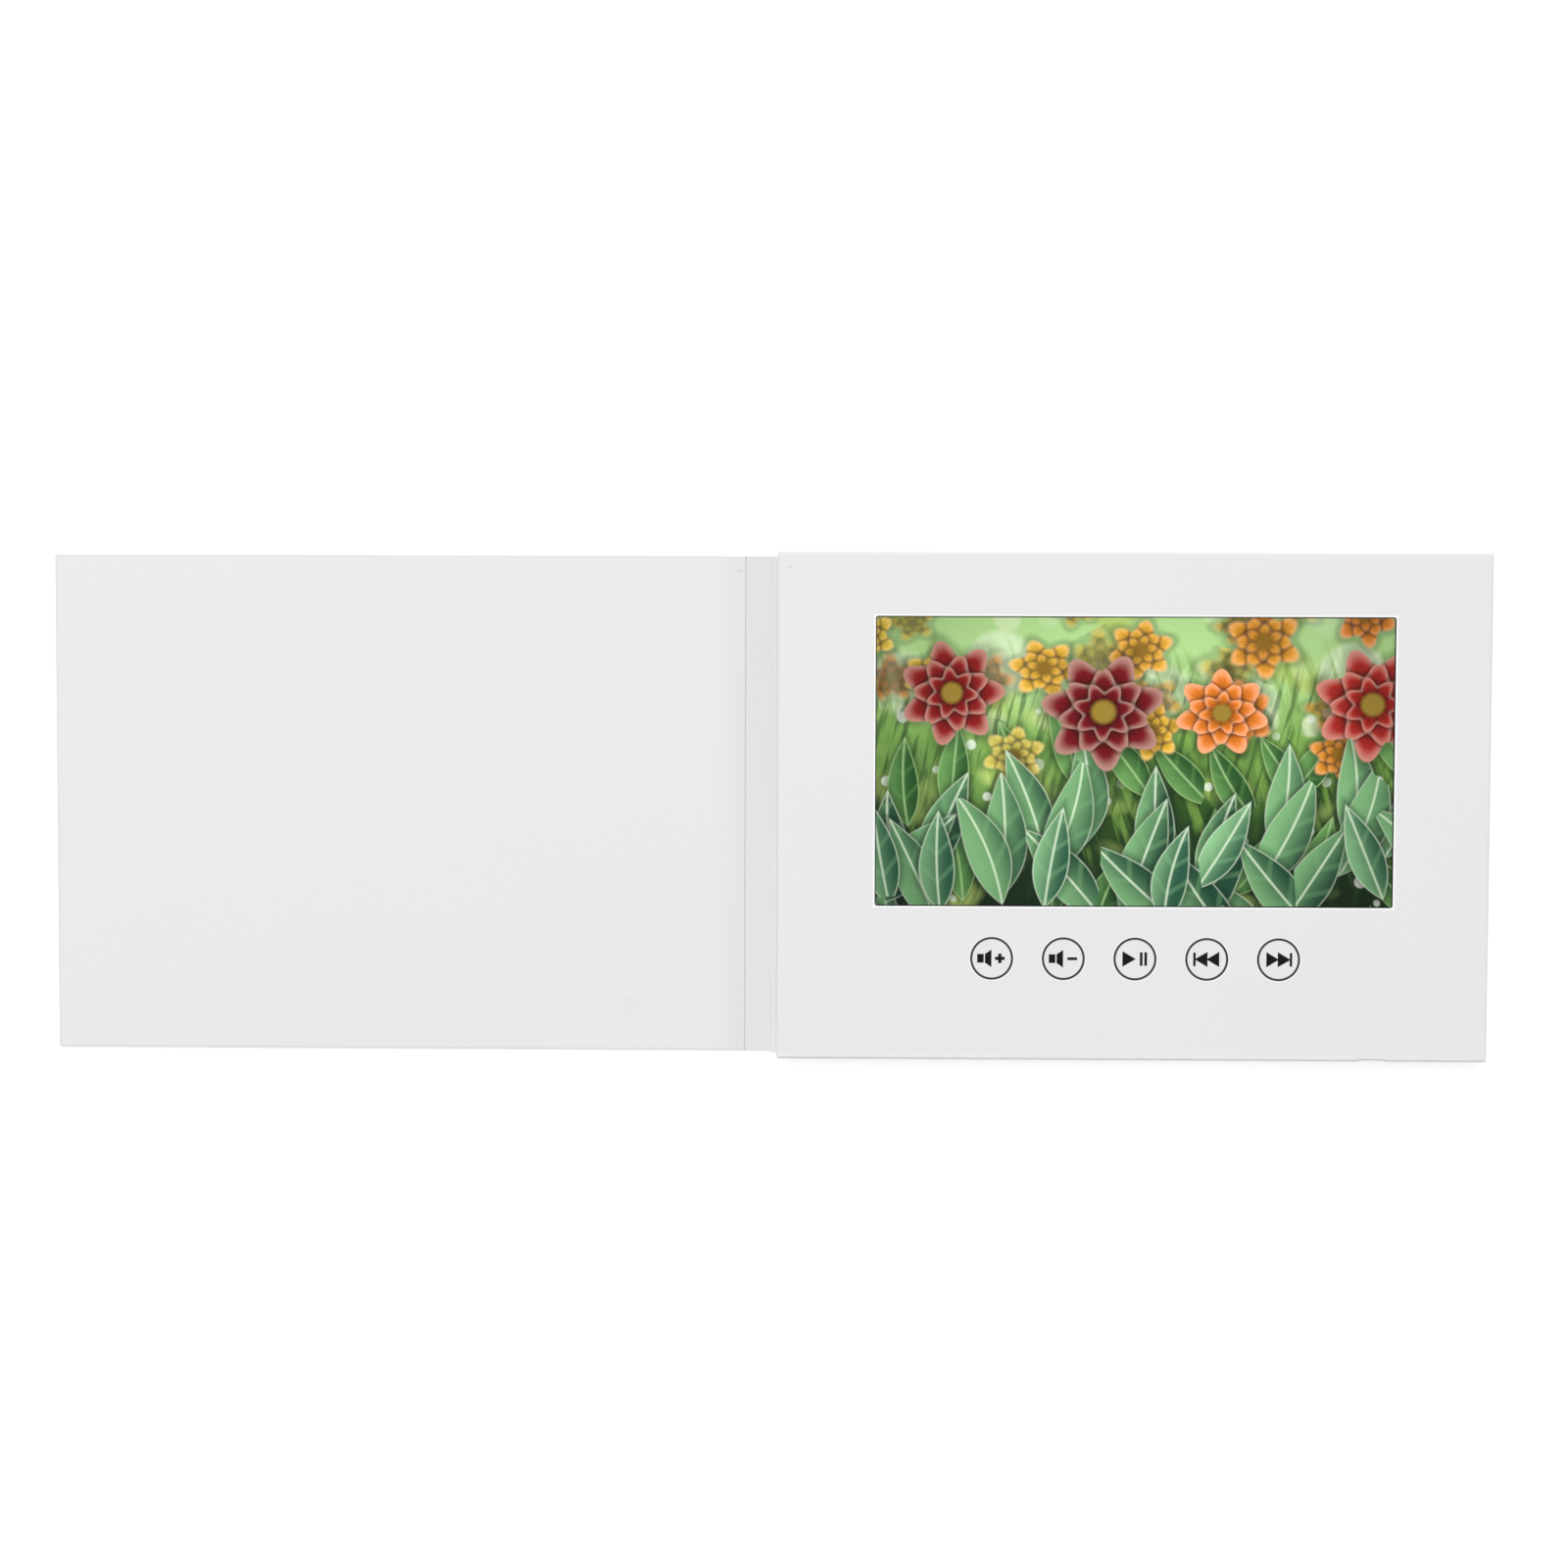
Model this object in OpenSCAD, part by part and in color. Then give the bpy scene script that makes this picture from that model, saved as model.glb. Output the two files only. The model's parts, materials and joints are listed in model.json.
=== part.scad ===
// Video brochure lying open: a card cover and a narrow spine fold over a player block.
// The block is a folded card tray on a wrapped back panel. Between them lie a display,
// five push keys on a board, the player board with its socket, a battery and a speaker,
// all bedded in two layers of cut cardboard.
// +X runs along the open brochure with the block on +X, +Y runs up the page, +Z faces the reader.

/* [Player block] */
// Length of the block along X
block_w = 210; // [207:1:240]
// Height of the block up the page
block_h = 150; // [148:1:180]
// Thickness of the block over the tray and the back panel
block_t = 10.5; // [10.2:0.1:13]
// Radius of the block's corners in plan
block_corner_r = 1; // [0.7:0.1:3]
// Outer radius of the tray's folds at the top, right and bottom edges
edge_fold_r = 1; // [0.7:0.1:1.8]
// Outer radius of the tray's fold beside the spine
spine_fold_r = 1.8; // [0.8:0.1:2.6]

/* [Card and paper] */
// Thickness of the grey board in the cover, spine and back
board_t = 1.2; // [0.9:0.1:1.6]
// Thickness of the wrap and liner paper
paper_t = 0.15; // [0.1:0.05:0.25]
// Thickness of the tray's folded card
tray_card_t = 0.6; // [0.4:0.1:0.7]
// Width of the wrap's turned-in margin
turn_in = 15; // [8:1:22]
// Distance from the cover's edge to the liner's edge
liner_inset = 0.6; // [0.4:0.1:4]
// Radius of the cover's outer corners in plan
cover_corner_r = 0.8; // [0.5:0.1:3]
// Width of the tray's glue flaps
flap_w = 10; // [6:1:14]
// Width of the tray's corner tabs
tab_w = 9; // [5:1:14]

/* [Cover and spine] */
// How much narrower the cover is than the block
cover_short_w = 3.5; // [0:0.5:8]
// How much the cover stands in from the block at the top and at the bottom
cover_short_h = 1; // [0:0.25:3]
// Space between the spine's fold line and the block
fold_gap = 0.3; // [0.2:0.05:0.8]
// Width of the scored crease between the spine and the cover
crease_w = 0.2; // [0.1:0.05:0.6]
// Space between the closed cover and the block
close_gap = 0.45; // [0.3:0.05:1.5]

/* [Closing magnet] */
// Length and height of the square magnet
magnet_w = 6; // [4:0.5:10]
// Thickness of the magnet
magnet_t = 0.8; // [0.5:0.1:0.85]
// Distance from the crease to the magnet's centre
magnet_from_crease = 34; // [30:1:40]
// Distance from the cover's bottom edge to the magnet's centre
magnet_from_bottom = 13.6; // [10:0.1:18]

/* [Window] */
// Width of the window
window_w = 152.7; // [148:0.1:153.6]
// Height of the window
window_h = 85.6; // [82:0.1:85.8]
// Distance from the block's spine side to the window
window_left = 29; // [26:0.5:31]
// Distance from the block's top edge to the window
window_top = 18.8; // [14:0.1:19.4]
// Radius of the window's corners
window_corner_r = 0.7; // [0.3:0.1:2]

/* [Display] */
// Width of the picture area
active_w = 154.08; // [153.8:0.02:155]
// Height of the picture area
active_h = 85.92; // [85.9:0.02:86.6]
// Border of the display beside the picture area
side_border = 5.4; // [4.8:0.1:7]
// Border of the display above the picture area
top_border = 4.6; // [4:0.1:7]
// Border of the display below the picture area
bottom_border = 8; // [7.4:0.1:8.2]
// Thickness of each glass sheet
glass_t = 0.5; // [0.3:0.1:0.6]
// Thickness of each polarizer
polarizer_t = 0.2; // [0.15:0.05:0.25]
// Thickness of the stacked light films
film_t = 0.3; // [0.2:0.05:0.4]
// Thickness of the light guide
guide_t = 1.2; // [1:0.1:1.4]
// Thickness of the reflector sheet
reflector_t = 0.2; // [0.1:0.05:0.3]
// Thickness of the steel back plate and front bezel
steel_t = 0.2; // [0.15:0.05:0.25]
// Thickness of the tape between the display and the tray
tape_t = 0.15; // [0.1:0.05:0.25]
// Width of the tape
tape_w = 2.4; // [1.5:0.1:3]
// Width of the bare glass ledge that carries the driver chip
ledge_w = 4; // [3.6:0.1:4.4]
// Number of lamps along the light guide
lamp_count = 18; // [9:1:27]
// Width of the display's ribbon
ribbon_w = 18; // [12:0.5:20]

/* [Keys] */
// Diameter of the key holes in the tray
key_hole_d = 12.6; // [11:0.1:13]
// Gap around each key
key_gap = 0.3; // [0.2:0.05:0.5]
// Distance between keys
key_pitch = 21.15; // [18:0.05:21.4]
// Distance from the block's spine side to the middle key
key_row_x = 106; // [104:0.5:107]
// Distance from the window's bottom edge to the key row
key_drop = 15.4; // [15.2:0.1:16.2]
// How far a key goes down
key_travel = 0.25; // [0.15:0.05:0.35]
// Thickness of the key's flange under the tray
key_flange_t = 0.5; // [0.3:0.1:0.6]
// How far the flange reaches past the hole
key_flange_lip = 0.5; // [0.3:0.1:0.6]
// Play between the key's flange and the tray
key_play = 0.05; // [0.02:0.01:0.1]
// Diameter of the key's stem
key_stem_d = 4; // [3.6:0.1:5]

/* [Key board] */
// Height of the key board's strip
key_board_h = 10.6; // [9:0.1:11]
// Length and width of a switch
switch_w = 6; // [5:0.1:7]
// Height of a switch's base
switch_h = 2.2; // [1.8:0.1:2.3]
// Diameter of a switch's plunger
plunger_d = 3.4; // [3:0.1:3.5]
// Height of the plunger above the base
plunger_h = 0.8; // [0.6:0.05:0.9]
// Depth of the plunger's well in the base
well_depth = 1; // [0.9:0.1:1.4]
// Length of the sensor arm below the strip
sensor_arm_h = 16; // [14:0.5:18]
// Width of the sensor arm
sensor_arm_w = 12; // [8:1:14]
// Length of the magnet sensor
sensor_w = 3; // [2.6:0.1:3.4]
// Height of the magnet sensor across its feet
sensor_h = 1.6; // [1.3:0.1:2]
// Thickness of the magnet sensor
sensor_t = 1.1; // [0.8:0.1:1.3]

/* [Player board] */
// Length of the player board
main_board_w = 46; // [44:0.5:47]
// Height of the player board
main_board_h = 32; // [30:0.5:33]
// Thickness of both circuit boards
pcb_t = 1; // [0.8:0.1:1.2]
// Distance from the player board to the block's free side
main_board_from_right = 3.5; // [2:0.5:4]
// Gap between the player board and the tray's lower wall
main_board_gap = 0.6; // [0.3:0.1:1]
// Length and width of the processor
processor_w = 10; // [8:0.5:10.5]
// Thickness of the processor
processor_t = 1; // [0.7:0.1:1.6]
// Length of the memory chip
memory_w = 8; // [6:0.5:9]
// Width of the memory chip
memory_h = 6; // [5:0.5:7]
// Thickness of the memory chip
memory_t = 0.9; // [0.6:0.1:1.6]
// Length and width of the power coil
coil_w = 5; // [4:0.5:6]
// Height of the power coil
coil_t = 2; // [1.6:0.1:3]
// Length of the crystal
crystal_w = 5; // [3.2:0.1:5.5]
// Width of the crystal
crystal_h = 3.2; // [2.5:0.1:3.6]
// Thickness of the crystal
crystal_t = 0.8; // [0.6:0.1:1.4]
// Depth of the ribbon's connector
ribbon_socket_h = 4; // [3.5:0.1:4.8]
// Height of the ribbon's connector above the board
ribbon_socket_t = 1.4; // [1.2:0.1:1.8]
// Width of each lead socket
lead_socket_w = 4.6; // [4.2:0.1:5.4]
// Depth of each lead socket
lead_socket_h = 4; // [3.6:0.1:4.6]
// Height of each lead socket
lead_socket_t = 2.4; // [2.2:0.1:3]

/* [Socket] */
// Distance from the block's free side to the socket's middle
usb_from_right = 34; // [32:0.5:36]
// Width of the socket's shell
usb_w = 7.7; // [7.4:0.1:8]
// Height of the socket's shell
usb_h = 3.95; // [3.8:0.05:4.1]
// Length of the socket's shell
usb_l = 9; // [8:0.1:10]
// Thickness of the socket's sheet
usb_sheet_t = 0.3; // [0.25:0.05:0.4]
// Clearance from the socket's shell to the tray's cut-out and face
usb_clear = 0.3; // [0.2:0.05:0.4]
// Depth of the dip in the tray's lower edge over the socket
usb_dip = 0.4; // [0.2:0.05:0.5]

/* [Battery] */
// Length of the cell
battery_w = 84; // [60:1:86]
// Height of the cell
battery_h = 50; // [40:1:54]
// Thickness of the cell
battery_t = 3.8; // [3:0.1:4]
// Distance from the block's spine side to the cell
battery_x = 30; // [20:1:32]
// Width of the guard board on the cell's lead end
guard_w = 4; // [3:0.5:5]
// Diameter of each lead
lead_d = 1.1; // [0.8:0.1:1.2]

/* [Speaker] */
// Length of the speaker
speaker_w = 40; // [34:1:44]
// Height of the speaker
speaker_h = 19; // [17:0.5:19.5]
// Thickness of the speaker
speaker_t = 5; // [4.6:0.1:5.4]
// Thickness of the speaker's gasket
gasket_t = 0.5; // [0.3:0.1:0.7]
// Thickness of the speaker's magnet
speaker_magnet_t = 1.7; // [1.4:0.1:2]
// Diameter of the speaker's magnet
speaker_magnet_d = 11.8; // [10:0.1:13]
// Distance from the block's spine side to the speaker's middle
speaker_x = 106; // [98:1:110]

/* [Filler] */
// Clearance of the cardboard filler around what it holds
filler_gap = 0.3; // [0.2:0.05:0.5]

/* [Hidden] */
$fn = 48;

// Cutters reach this far past the faces that they open
over = 1;

// Panel thicknesses: the cover and spine have a liner, and the back has none
panel_t = board_t + 3 * paper_t;
back_t = board_t + 2 * paper_t;

// Layout along X: the whole brochure is centred on the origin
spine_w = block_t - panel_t + close_gap;
cover_w = block_w - cover_short_w;
total_w = cover_w + spine_w + fold_gap + block_w;
block_x = total_w / 2 - block_w;
fold_x = block_x - fold_gap;
crease_x = fold_x - spine_w;
cover_x = crease_x - cover_w;
cover_h = block_h - 2 * cover_short_h;

// Edges of the block in plan
block_low = -block_h / 2;
block_right = block_x + block_w;
face_under = block_t - tray_card_t;

// Window and display
window_x = block_x + window_left;
window_y = block_h / 2 - window_top - window_h;
display_w = active_w + 2 * side_border;
display_h = active_h + top_border + bottom_border;
display_x = window_x + (window_w - display_w) / 2;
display_y = window_y + (window_h - active_h) / 2 - bottom_border;
display_top = face_under - tape_t;
front_glass_z = display_top - polarizer_t - glass_t;
rear_glass_z = front_glass_z - glass_t;
rear_polarizer_z = rear_glass_z - polarizer_t;
film_z = rear_polarizer_z - film_t;
guide_z = film_z - guide_t;
reflector_z = guide_z - reflector_t;
display_z = reflector_z - steel_t;

// Viewing opening of the bezel, which the polarizer fills
view_margin = 1.2;
view_w = active_w + 2 * view_margin;
view_h = active_h + 2 * view_margin;
view_x = display_x + (display_w - view_w) / 2;
view_y = display_y + bottom_border - view_margin;

// Glass sheets reach under the bezel, and the rear one carries the ledge
glass_margin = 1.6;
glass_w = view_w + 2 * glass_margin;
glass_h = view_h + 2 * glass_margin;
glass_x = view_x - glass_margin;
glass_y = view_y - glass_margin;

// Light guide and films reach a little past the view, and the lamps stand along their lower edge
guide_margin = 0.5;
guide_w = view_w + 2 * guide_margin;
guide_h = view_h + 2 * guide_margin;
guide_x = view_x - guide_margin;
guide_y = view_y - guide_margin;
stack_gap = 0.1;
lamp_size = [3.6, 0.9, 0.9];
lamp_y = guide_y - stack_gap - lamp_size[1];

// Moulded frame between the bezel's skirt and the stack
skirt_gap = 0.1;
frame_x = display_x + steel_t + skirt_gap;
frame_y = display_y + steel_t + skirt_gap;
frame_w = display_w - 2 * (steel_t + skirt_gap);
frame_h = display_h - 2 * (steel_t + skirt_gap);

// Circuit boards share one level, set by the socket under the tray's face
board_top = face_under - usb_clear - usb_h;
usb_sill_z = board_top - usb_clear;
lower_fold_z = block_t - edge_fold_r;
board_z = board_top - pcb_t;
usb_x = block_right - usb_from_right;
main_board_x = block_right - main_board_from_right - main_board_w;
main_board_y = block_low + tray_card_t + main_board_gap;
main_board_top_y = main_board_y + main_board_h;

// Keys and their board
key_d = key_hole_d - 2 * key_gap;
key_flange_d = key_hole_d + 2 * key_flange_lip;
key_x = [for (i = [-2:2]) block_x + key_row_x + i * key_pitch];
key_y = window_y - key_drop;
key_flange_z = face_under - key_play - key_flange_t;
switch_top = board_top + switch_h;
plunger_top = switch_top + plunger_h;
sensor_x = fold_x + magnet_from_crease;
sensor_y = block_low + cover_short_h + magnet_from_bottom;
key_board_y = key_y - key_board_h / 2;
key_board_x = sensor_x - sensor_arm_w / 2;
key_board_tail = 4.5;
key_board_end = key_x[4] + switch_w / 2 + key_board_tail;

// Ribbon of the display leaves over the player board's ribbon socket
ribbon_in = 6;
ribbon_x = main_board_x + ribbon_w / 2 + ribbon_in;
ribbon_t = 0.15;
ribbon_slot_gap = 0.4;
socket_from_edge = 0.6;
ribbon_socket_y = main_board_top_y - ribbon_socket_h - socket_from_edge;

// Battery lies on the back panel behind the display
cell_x = block_x + battery_x;
cell_y = display_y + bottom_border + active_h / 2 - battery_h / 2;
cell_z = back_t + tape_t;

// Speaker lies below the keys and faces the tray
speaker_cx = block_x + speaker_x;
speaker_cy = (block_low + tray_card_t + key_y - key_flange_d / 2) / 2;
speaker_z = face_under - speaker_t;

// Filler layers meet at the display's back
filler_split = display_z - filler_gap / 2;
wall_in = tray_card_t + filler_gap / 2;

// Sealed strip of the cell and the guard board on it
seal_t = 0.4;
guard_t = 0.8;
guard_gap = 0.2;
guard_margin = 6;
guard_z = cell_z + battery_t / 2 + seal_t / 2;

// Speaker's basket stands in from its rim, and the cone's neck passes its floor
basket_in = 2;
basket_wall = 0.6;
neck_d = 5.6;
neck_gap = 0.2;

// Lead sockets: the battery's on the board's upper edge, the speaker's on its spine side
battery_socket_in = 8;
battery_socket_x = main_board_x + main_board_w - lead_socket_w / 2 - battery_socket_in;
battery_socket_y = main_board_top_y - lead_socket_h / 2 - socket_from_edge;
speaker_socket_up = 3;
speaker_socket_x = main_board_x + lead_socket_h / 2 + socket_from_edge;
speaker_socket_y = speaker_cy + speaker_socket_up;

// Plugs stand out of their sockets, and two leads run to each
socket_wall = 0.5;
plug_play = 0.1;
plug_out = 1;
plug_end = lead_socket_h / 2 + plug_out;
lead_pitch = lead_d + 0.3;
lead_z = board_top + lead_socket_t / 2;
seat_gap = 0.02;
room_half_w = 6;

// A plate with round corners, from its low corner
module rounded_plate(size, r) {
  linear_extrude(size[2]) rounded_outline(size[0], size[1], r);
}

// A rectangle with round corners, from its low corner
module rounded_outline(w, h, r) {
  translate([r, 0]) square([w - 2 * r, h]);
  translate([0, r]) square([w, h - 2 * r]);
  for (x = [r, w - r], y = [r, h - r]) translate([x, y]) circle(r);
}

// A rectangle standing on its lower side, with its two upper corners round
module arched_outline(w, h, left_r, right_r) {
  square([w / 2, h - left_r]);
  translate([w / 2, 0]) square([w / 2, h - right_r]);
  translate([left_r, 0]) square([w - left_r - right_r, h]);
  translate([left_r, h - left_r]) circle(left_r);
  translate([w - right_r, h - right_r]) circle(right_r);
}

// A bar with half-round ends, centred in plan
module racetrack(w, h, t) {
  linear_extrude(t) racetrack_outline(w, h);
}

module racetrack_outline(w, h) {
  square([w - h, h], center = true);
  for (side = [-1, 1]) translate([side * (w - h) / 2, 0]) circle(h / 2);
}

// A plain block from its low corner
module bar(corner, size) {
  translate(corner) cube(size);
}

// A block that reaches past a rectangle by the same margin on all four sides
module grown_bar(x, y, z, w, h, t, margin) {
  translate([x - margin, y - margin, z]) cube([w + 2 * margin, h + 2 * margin, t]);
}

// Points of a curve that leaves one place along a direction and reaches another along its own
function curve_points(a, a_way, b, b_way, pull, steps) =
  [for (i = [0:steps - 1]) curve_point(a, a + pull * a_way, b - pull * b_way, b, i / steps)];

function curve_point(a, b, c, d, t) =
  pow(1 - t, 3) * a + 3 * t * pow(1 - t, 2) * b + 3 * t * t * (1 - t) * c + pow(t, 3) * d;

// Points along an arc in a plane, from one angle to another
function arc_points(centre, r, from, to) =
  let (steps = 6)
  [for (i = [0:steps]) let (angle = from + (to - from) * i / steps) centre + r * [cos(angle), sin(angle)]];

// A round lead swept along a route that never runs straight up, or beside it to its left
module lead(route, d, beside) {
  sides = 8;
  rings = len(route);
  ring_points = [
    for (i = [0:rings - 1], k = [0:sides - 1]) lead_point(route, i, beside, 360 * k / sides, d / 2)
  ];
  side_faces = [
    for (i = [0:rings - 2], k = [0:sides - 1], half = [0, 1])
      let (
        a = i * sides + k,
        b = i * sides + (k + 1) % sides,
        c = b + sides,
        e = a + sides
      )
      half == 0 ? [a, b, c] : [a, c, e]
  ];
  first_cap = [for (k = [sides - 1:-1:0]) k];
  last_cap = [for (k = [0:sides - 1]) (rings - 1) * sides + k];
  polyhedron(ring_points, concat(side_faces, [first_cap, last_cap]));
}

// A red and a black lead side by side along a route
module lead_pair(route) {
  color("red") lead(route, lead_d, -lead_pitch / 2);
  color("black") lead(route, lead_d, lead_pitch / 2);
}

function lead_point(route, i, beside, angle, r) =
  let (
    a = route[max(i - 1, 0)],
    b = route[min(i + 1, len(route) - 1)],
    along = (b - a) / norm(b - a),
    flat = cross([0, 0, 1], along),
    across = flat / norm(flat),
    up = cross(along, across)
  )
  route[i] + (beside + r * cos(angle)) * across + r * sin(angle) * up;

// Paper that wraps a board from below and turns in over it, open where the sheet runs on
module wrapped_sheet(x, y, w, h, corner_r, open_left, open_right) {
  left = open_left ? over : 0;
  right = open_right ? over : 0;
  sheet_t = board_t + 2 * paper_t;
  difference() {
    intersection() {
      translate([x - left, y, 0]) rounded_plate([w + left + right, h, sheet_t], corner_r);
      bar([x, y, 0], [w, h, sheet_t]);
    }
    wrapped_board_space(x, y, w, h, open_left, open_right, paper_t, board_t);
    wrapped_opening(x, y, w, h, open_left, open_right);
  }
}

// Space that the board takes inside its wrap
module wrapped_board_space(x, y, w, h, open_left, open_right, z, t) {
  x0 = open_left ? x - over : x + paper_t;
  x1 = open_right ? x + w + over : x + w - paper_t;
  bar([x0, y + paper_t, z], [x1 - x0, h - 2 * paper_t, t]);
}

// Opening between the turned-in margins
module wrapped_opening(x, y, w, h, open_left, open_right) {
  x0 = open_left ? x - over : x + turn_in;
  x1 = open_right ? x + w + over : x + w - turn_in;
  bar([x0, y + turn_in, paper_t + board_t], [x1 - x0, h - 2 * turn_in, paper_t + over]);
}

// Liner that covers the turned-in margins and lies on the board between them
module liner_sheet(x, y, w, h, open_left, open_right) {
  x0 = open_left ? x : x + liner_inset;
  x1 = open_right ? x + w : x + w - liner_inset;
  pad_x0 = open_left ? x : x + turn_in;
  pad_x1 = open_right ? x + w : x + w - turn_in;
  bar([x0, y + liner_inset, panel_t - paper_t], [x1 - x0, h - 2 * liner_inset, paper_t]);
  bar([pad_x0, y + turn_in, panel_t - 2 * paper_t], [pad_x1 - pad_x0, h - 2 * turn_in, paper_t]);
}

// Cover: it ends half a crease short of the crease line
cover_end = crease_x - crease_w / 2;
cover_len = cover_end - cover_x;

module cover_wrap() {
  color("white") wrapped_sheet(cover_x, -cover_h / 2, cover_len, cover_h, cover_corner_r, false, true);
}

module cover_board() {
  size = [cover_len - paper_t, cover_h - 2 * paper_t, board_t];
  color("darkgray") difference() {
    bar([cover_x + paper_t, -cover_h / 2 + paper_t, paper_t], size);
    magnet_space(filler_gap / 2);
  }
}

module magnet_space(gap) {
  side = magnet_w + 2 * gap;
  x = crease_x - magnet_from_crease;
  y = -cover_h / 2 + magnet_from_bottom;
  bar([x - side / 2, y - side / 2, paper_t + board_t - magnet_t], [side, side, magnet_t + gap]);
}

module cover_magnet() {
  color("silver") intersection() {
    magnet_space(0);
    bar([cover_x, -cover_h / 2, 0], [cover_len, cover_h, paper_t + board_t]);
  }
}

module cover_liner() {
  color("whitesmoke") liner_sheet(cover_x, -cover_h / 2, cover_len, cover_h, false, true);
}

// Spine: a narrow panel between the two fold lines
spine_x = crease_x + crease_w / 2;
spine_len = fold_x - spine_x;

module spine_wrap() {
  color("white") wrapped_sheet(spine_x, -cover_h / 2, spine_len, cover_h, cover_corner_r, true, true);
}

module spine_board() {
  size = [spine_len, cover_h - 2 * paper_t, board_t];
  color("darkgray") bar([spine_x, -cover_h / 2 + paper_t, paper_t], size);
}

module spine_liner() {
  color("whitesmoke") liner_sheet(spine_x, -cover_h / 2, spine_len, cover_h, true, true);
}

// Back panel under the tray
module back_wrap() {
  color("white") wrapped_sheet(block_x, block_low, block_w, block_h, block_corner_r, true, false);
}

module back_board() {
  size = [block_w - paper_t, block_h - 2 * paper_t, board_t];
  color("darkgray") bar([block_x, block_low + paper_t, paper_t], size);
}

// Outer form of the tray, or of its hollow when it stands in from the outside
module tray_form(inset, top_z) {
  low_z = back_t - (inset > 0 ? over : 0);
  w = block_w - 2 * inset;
  h = block_h - 2 * inset;
  t = top_z - low_z;
  least_r = 0.1;
  plan_r = max(block_corner_r - inset, least_r);
  edge_r = max(edge_fold_r - inset, least_r);
  spine_r = max(spine_fold_r - inset, least_r);
  translate([block_x + inset, block_low + inset, low_z]) intersection() {
    rounded_plate([w, h, t], plan_r);
    translate([0, h, 0]) rotate([90, 0, 0]) linear_extrude(h) arched_outline(w, t, spine_r, edge_r);
    rotate([90, 0, 90]) linear_extrude(w) arched_outline(h, t, edge_r, edge_r);
  }
}

// Folded card tray: face, four walls, glue flaps on the back panel and tabs inside the corners
module folded_tray() {
  hole_z = face_under - over;
  hole_t = tray_card_t + 2 * over;
  difference() {
    union() {
      difference() {
        tray_form(0, block_t);
        tray_form(tray_card_t, face_under);
      }
      tray_flaps();
      tray_tabs();
    }
    translate([window_x, window_y, hole_z]) rounded_plate([window_w, window_h, hole_t], window_corner_r);
    for (x = key_x) translate([x, key_y, hole_z]) cylinder(h = hole_t, d = key_hole_d);
    usb_cut_out();
  }
}

// Band of the lower wall between two heights
module lower_wall_band(low_z, high_z) {
  size = [block_w - 2 * block_corner_r, tray_card_t + over, high_z - low_z];
  bar([block_x + block_corner_r, block_low - over, low_z], size);
}

// Lower wall up to the sill of the cut-out, with its glue flap
module lower_foot_room() {
  low_z = back_t - over;
  lower_wall_band(low_z, usb_sill_z);
  translate([block_x + block_w / 2, 0, low_z]) rotate(180) linear_extrude(tray_card_t + over) {
    flap_outline(block_w / 2 - tray_card_t, block_h / 2 - tray_card_t);
  }
}

// Tray apart from its lower wall
module face_tray() {
  color("white") difference() {
    folded_tray();
    lower_foot_room();
    lower_wall_band(usb_sill_z, lower_fold_z);
  }
}

// Foot of the lower wall: a node of its own so that the way to the socket stays free
module tray_lower_foot() {
  color("white") intersection() {
    folded_tray();
    lower_foot_room();
  }
}

// Lower wall on both sides of the cut-out
module tray_lower_wall() {
  color("white") intersection() {
    folded_tray();
    lower_wall_band(usb_sill_z, lower_fold_z);
  }
}

// Flaps turned in along the foot of each wall, with mitred ends
module tray_flaps() {
  half_w = block_w / 2 - tray_card_t;
  half_h = block_h / 2 - tray_card_t;
  translate([block_x + block_w / 2, 0, back_t]) linear_extrude(tray_card_t) {
    for (side = [0, 180]) {
      rotate(side) flap_outline(half_w, half_h);
      rotate(side + 90) flap_outline(half_h, half_w);
    }
  }
}

// One flap on a wall that stands at y = reach: its foot bites half way into the wall
module flap_outline(half_length, reach) {
  mitre_gap = 0.4;
  end = half_length - mitre_gap;
  foot = reach + tray_card_t / 2;
  tip = reach - flap_w;
  polygon([
    [-end, foot],
    [end, foot],
    [end, reach],
    [end - flap_w, tip],
    [flap_w - end, tip],
    [-end, reach]
  ]);
}

// Tabs of the end walls, glued behind the upper and lower walls
module tray_tabs() {
  foot_z = back_t + tray_card_t / 2;
  bite = tray_card_t / 2;
  size = [tab_w + bite, tray_card_t + bite, face_under - edge_fold_r - foot_z];
  left_x = block_x + bite;
  right_x = block_right - bite - size[0];
  low_y = block_low + bite;
  high_y = block_h / 2 - bite - size[1];
  for (x = [left_x, right_x], y = [low_y, high_y]) bar([x, y, foot_z], size);
}

// Cut-out of the lower wall for the socket, with the shallow dip in the edge above it
module usb_cut_out() {
  cut_w = usb_w + 2 * usb_clear;
  cut_size = [cut_w, tray_card_t + over + usb_dip, face_under - usb_sill_z];
  slope = 0.8;
  bar([usb_x - cut_w / 2, block_low - over, usb_sill_z], cut_size);
  translate([usb_x, block_low, usb_sill_z]) linear_extrude(block_t) polygon([
    [-cut_w / 2 - over, -over],
    [cut_w / 2 + over, -over],
    [cut_w / 2, 0],
    [cut_w / 2 - slope, usb_dip],
    [-cut_w / 2 + slope, usb_dip],
    [-cut_w / 2, 0]
  ]);
}

// Display: tape frame under the tray's face
module display_tape() {
  color("gold") difference() {
    grown_bar(view_x, view_y, display_top, view_w, view_h, tape_t, tape_w);
    bar([view_x, view_y, display_top - over], [view_w, view_h, tape_t + 2 * over]);
  }
}

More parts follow.
